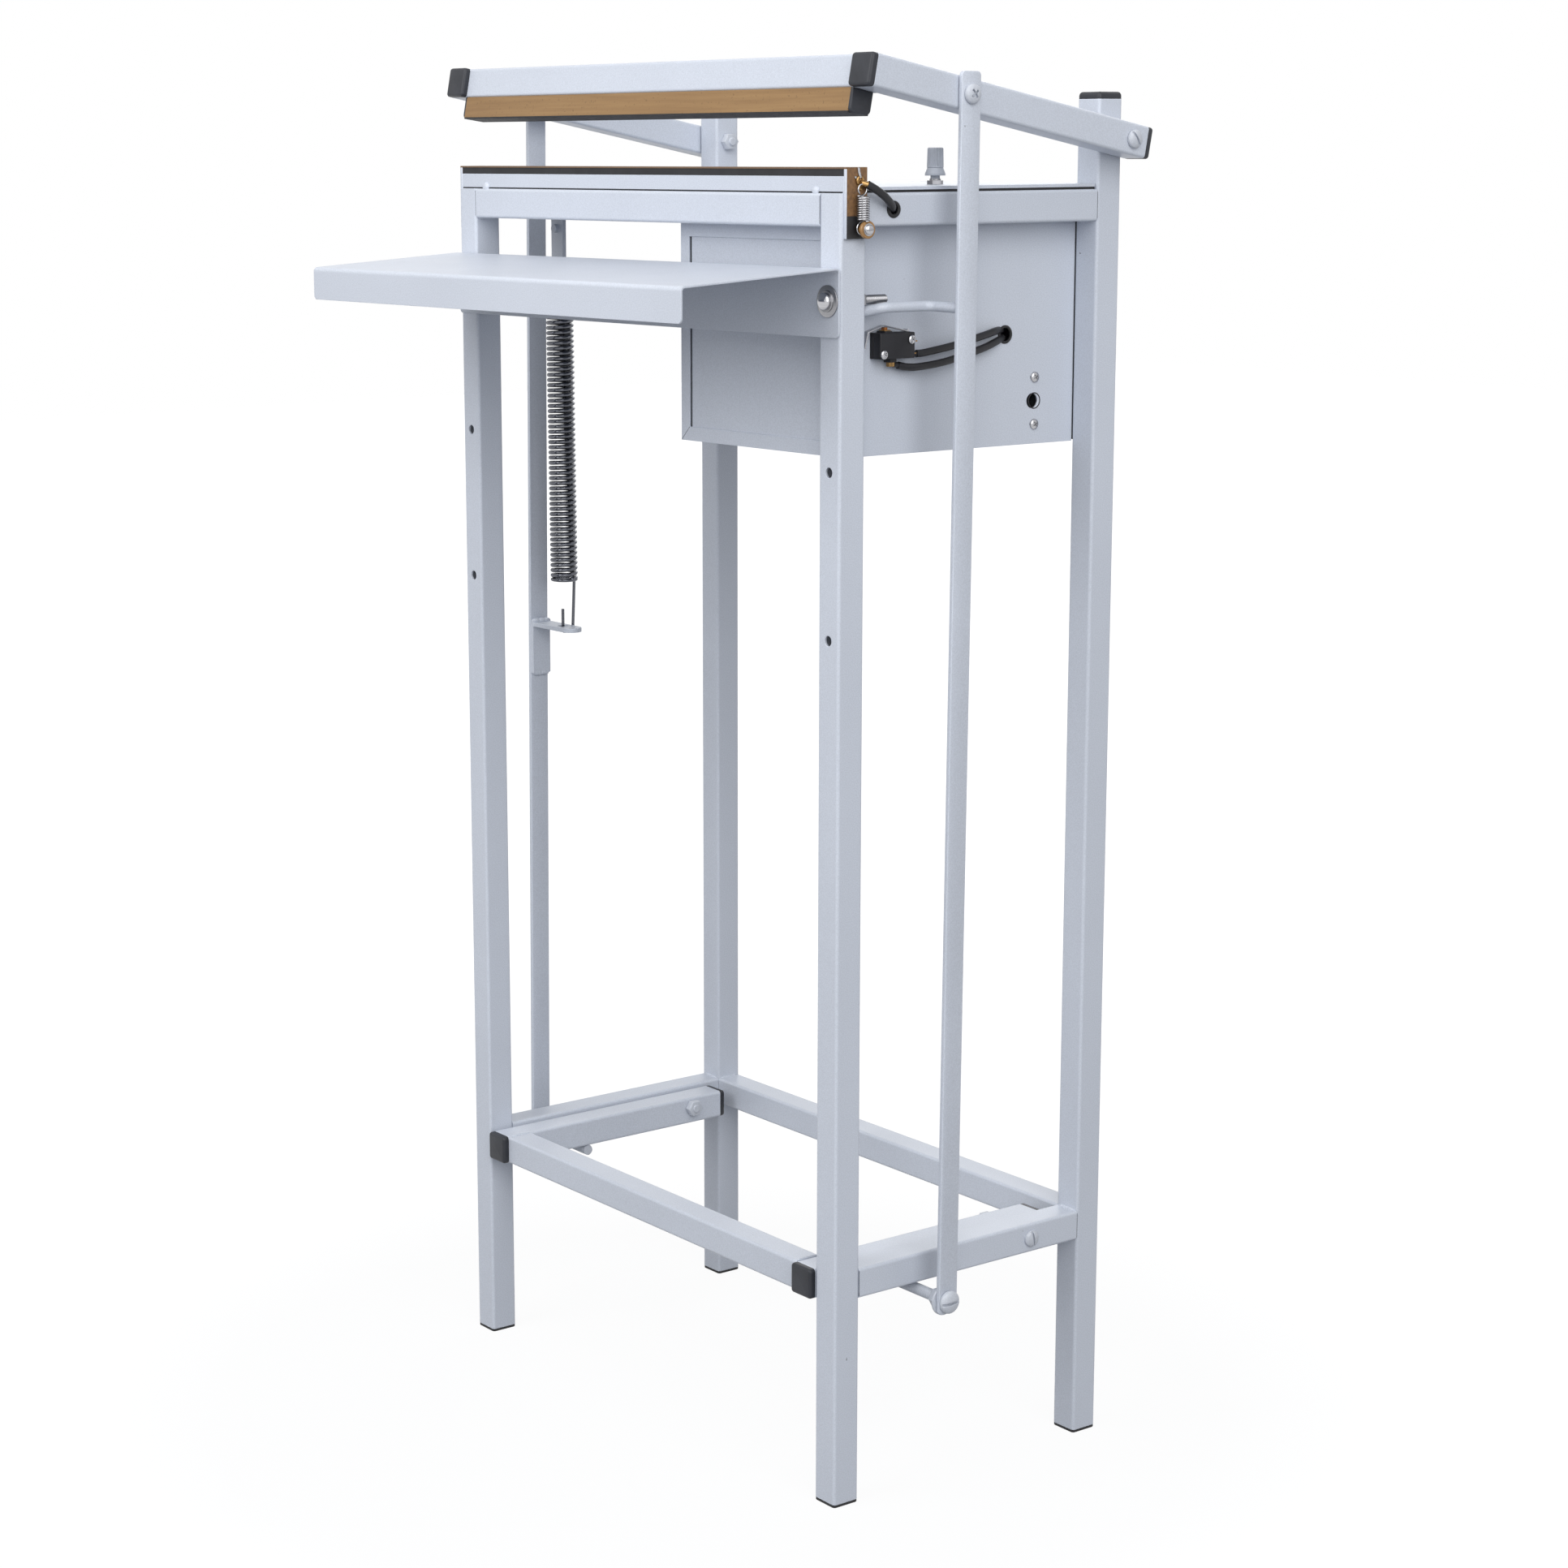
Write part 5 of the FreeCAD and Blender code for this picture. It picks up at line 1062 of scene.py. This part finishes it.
def blob(place, size, seed, wave_count=4, ripple_depth=0.055):
    """A lump of weld metal about a point, both in millimetres."""
    spread = random.Random(seed)
    made = bmesh.new()
    bmesh.ops.create_icosphere(made, subdivisions=3, radius=1)
    waves = []
    for _ in range(wave_count):
        direction = Vector((spread.uniform(-3, 3), spread.uniform(-3, 3), spread.uniform(-3, 3)))
        waves.append((direction, spread.uniform(0, 6)))
    for vert in made.verts:
        ripple = sum(math.sin(wave.dot(vert.co) + phase) for wave, phase in waves) * ripple_depth
        swollen = vert.co * (1 + ripple)
        vert.co = Vector(swollen[axis] * size[axis] + place[axis] for axis in range(3)) * MM
    return made


def middle_mm(low, high, axis):
    return (low[axis] + high[axis]) / 2 / MM


def make_frame_welds():
    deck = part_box("lower_jaw_base")[0]
    parts = []
    for seed, x in enumerate((-179.5, 183.5)):
        parts.append(blob((x, deck.y / MM - 0.2, deck.z / MM + 1.2), (3.4, 1.7, 3.2), seed))
    leg_back, rear_front = (plane / MM for plane in tube_planes())
    seam_start, seam_end, seam_lift = 192.5, 207.5, 0.2
    for seed, (y, away) in enumerate(((leg_back, 1), (rear_front, -1))):
        for side in SIDES:
            for z in (LOW_RAIL, LOW_RAIL + TUBE, TOP_RAIL):
                seam_y = y + seam_lift * away
                seam = [(seam_start * side, seam_y, z), (seam_end * side, seam_y, z)]
                parts.append(weld(seam, 1.3, seed * 7 + int(z)))
    rear_y = rear_front + TUBE / 2
    inner_seam = 189.8
    for side in SIDES:
        x = inner_seam * side
        for z in (LOW_RAIL, LOW_RAIL + TUBE, TOP_RAIL, TOP_RAIL + TUBE):
            parts.append(weld([(x, rear_y - 7.5, z), (x, rear_y + 7.5, z)], 1.2, int(z) + 3))
        parts.append(weld([(x, leg_back - 17.5, TOP_RAIL), (x, leg_back - 2.5, TOP_RAIL)], 1.2, 31))
    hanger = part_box("spring_hanger")
    x, y, z = middle_mm(*hanger, 0), middle_mm(*hanger, 1), TOP_RAIL - 0.2
    for away in (-1.7, 1.7):
        parts.append(weld([(x - 6, y + away, z), (x + 6, y + away, z)], 1.5, 41))
    piece("frame_welds", merged(parts), paint, "frame", ROUND_FORM)


def make_pedal_welds():
    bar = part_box("pedal_front_bar")
    y_mid, z_mid = middle_mm(*bar, 1), middle_mm(*bar, 2)
    bar_end, half = 167.8, TUBE // 2
    parts = []
    for side in SIDES:
        x = bar_end * side
        for z in (z_mid - half, z_mid + half):
            parts.append(weld([(x, y_mid - 8, z), (x, y_mid + 8, z)], 1.2, int(z)))
        parts.append(weld([(x, y_mid + half, z_mid - 8), (x, y_mid + half, z_mid + 8)], 1.2, 5))
    piece("pedal_welds", merged(parts), paint, "pedal", ROUND_FORM)


def make_rod_welds():
    lug_low, lug_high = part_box("spring_lug")
    root_x, foot_z, tab_z = lug_low.x / MM, lug_low.z / MM, lug_high.z / MM
    y = middle_mm(lug_low, lug_high, 1)
    parts = [weld([(root_x + 1.4, y - 7, foot_z), (root_x + 1.4, y + 7, foot_z)], 2.2, 61)]
    for seed, (offset, width) in enumerate(((-4.5, 3.4), (0.5, 4.2), (5, 3.1))):
        parts.append(blob((root_x + 2.2, y + offset, tab_z + 0.6), (2.6, width, 2.3), seed + 70))
    piece("lug_welds", merged(parts), paint, "left_rod", ROUND_FORM)

    radius, x, z = 3.6, 230.6, 766
    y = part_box("switch_actuator")[1].y / MM - 3.2
    collar = []
    for step in range(9):
        turn = step * math.pi / 4
        collar.append((x, y + radius * math.cos(turn), z + radius * math.sin(turn)))
    piece("actuator_weld", weld(collar, 1.2, 81), paint, "right_rod", ROUND_FORM)


# End caps with soft pillow faces
CAP_HALF = 10 * MM
CAP_PLUG = 8.3 * MM
CAP_RISE = 4.5 * MM
FOOT_RISE = 2 * MM
JAW_TILT = -math.radians(11)
ARM_X = 221
ARM_ENDS = (-214.5, 11.7)
PRESSER_END_X = 209.6
PEDAL_ARM_X = 178
PRESSER_OUTLINE = ((-214.5, -10), (-198.5, -10), (-198.5, -24.1), (-214.5, -24.8))


def pillow(rise, soft):
    """A cap's crown with rounded corners and rim, and its plug in the tube."""
    crown = block((-CAP_HALF, -CAP_HALF, 0), (CAP_HALF, CAP_HALF, rise))
    eased(crown, [edge for edge in crown.edges if spans(edge, 2) > rise / 2], 2.2 * MM, 4)
    rim = [edge for edge in crown.edges if min(vert.co.z for vert in edge.verts) > rise * 0.9]
    eased(crown, rim, soft, 5)
    stem = block((-CAP_PLUG, -CAP_PLUG, -8 * MM), (CAP_PLUG, CAP_PLUG, 0.2 * MM))
    return merged([crown, stem])


def presser_end():
    """The black end piece of the presser bar, drawn in the arm's own plane."""
    made = bmesh.new()
    inner = [made.verts.new((0, y * MM, z * MM)) for y, z in PRESSER_OUTLINE]
    outer = [made.verts.new((2.6 * MM, y * MM, z * MM)) for y, z in PRESSER_OUTLINE]
    skin(made, [inner, outer])
    bmesh.ops.recalc_face_normals(made, faces=made.faces)
    along = [edge for edge in made.edges if spans(edge, 0) > 1 * MM
             and min(vert.co.z for vert in edge.verts) < -20 * MM]
    eased(made, along, 3 * MM, 5)
    rim = [edge for edge in made.edges if min(vert.co.x for vert in edge.verts) > 2.5 * MM]
    eased(made, rim, 0.9 * MM, 3)
    return made


def make_caps():
    forward = Matrix.Rotation(math.pi / 2, 4, "X")
    backward = Matrix.Rotation(-math.pi / 2, 4, "X")
    down = Matrix.Rotation(math.pi, 4, "X")
    tilt = Matrix.Rotation(JAW_TILT, 4, "X")
    jaw_y, jaw_z = JOINT_PLACES["jaw_hinge"][1:]
    feet_low, feet_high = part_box("leg_feet")
    pedal_low, pedal_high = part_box("pedal_caps")
    pedal_z = (pedal_low.z + pedal_high.z) / 2
    leg_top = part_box("rear_leg_caps")[1].z - CAP_RISE
    jaw, pedal, legs, feet = [], [], [], []
    for side in SIDES:
        arm = Matrix.Translation((side * ARM_X * MM, jaw_y, jaw_z)) @ tilt
        for y, facing in zip(ARM_ENDS, (forward, backward)):
            jaw.append((pillow(CAP_RISE, 2 * MM), arm @ Matrix.Translation((0, y * MM, 0)) @ facing))
        end_at = Matrix.Translation((side * PRESSER_END_X * MM, jaw_y, jaw_z)) @ tilt
        jaw.append((presser_end(), end_at @ Matrix.Scale(side, 4, (1, 0, 0))))
        for y, facing in ((pedal_low.y + CAP_RISE, forward), (pedal_high.y - CAP_RISE, backward)):
            at = Matrix.Translation((side * PEDAL_ARM_X * MM, y, pedal_z)) @ facing
            pedal.append((pillow(CAP_RISE, 2 * MM), at))
        at = Matrix.Translation((side * LEG_CENTRE * MM, jaw_y, leg_top))
        legs.append((pillow(CAP_RISE, 2.6 * MM), at))
        for y in (feet_low.y + CAP_HALF, feet_high.y - CAP_HALF):
            at = Matrix.Translation((side * LEG_CENTRE * MM, y, FOOT_RISE)) @ down
            feet.append((pillow(FOOT_RISE, 0.5 * MM), at))
    for name, pairs, finish, body in (
        ("jaw_caps", jaw, cap_black, "upper_jaw"),
        ("pedal_caps", pedal, cap_black, "pedal"),
        ("rear_leg_caps", legs, cap_black, "frame"),
        ("leg_feet", feet, rubber_black, "frame"),
    ):
        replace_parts(piece(name + "_detail", merged(pairs), finish, body, 30), name)


place_camera()
light_scene()
make_floor()
finish_nodes()
make_bolts()
make_tray_bolts()
make_box_screws()
make_return_spring()
make_ribbon_springs()
make_terminals()
make_switch()
make_rods()
make_shade_and_joint_lines()
make_frame_welds()
make_pedal_welds()
make_rod_welds()
make_caps()

bpy.context.scene.view_settings.view_transform = "Standard"
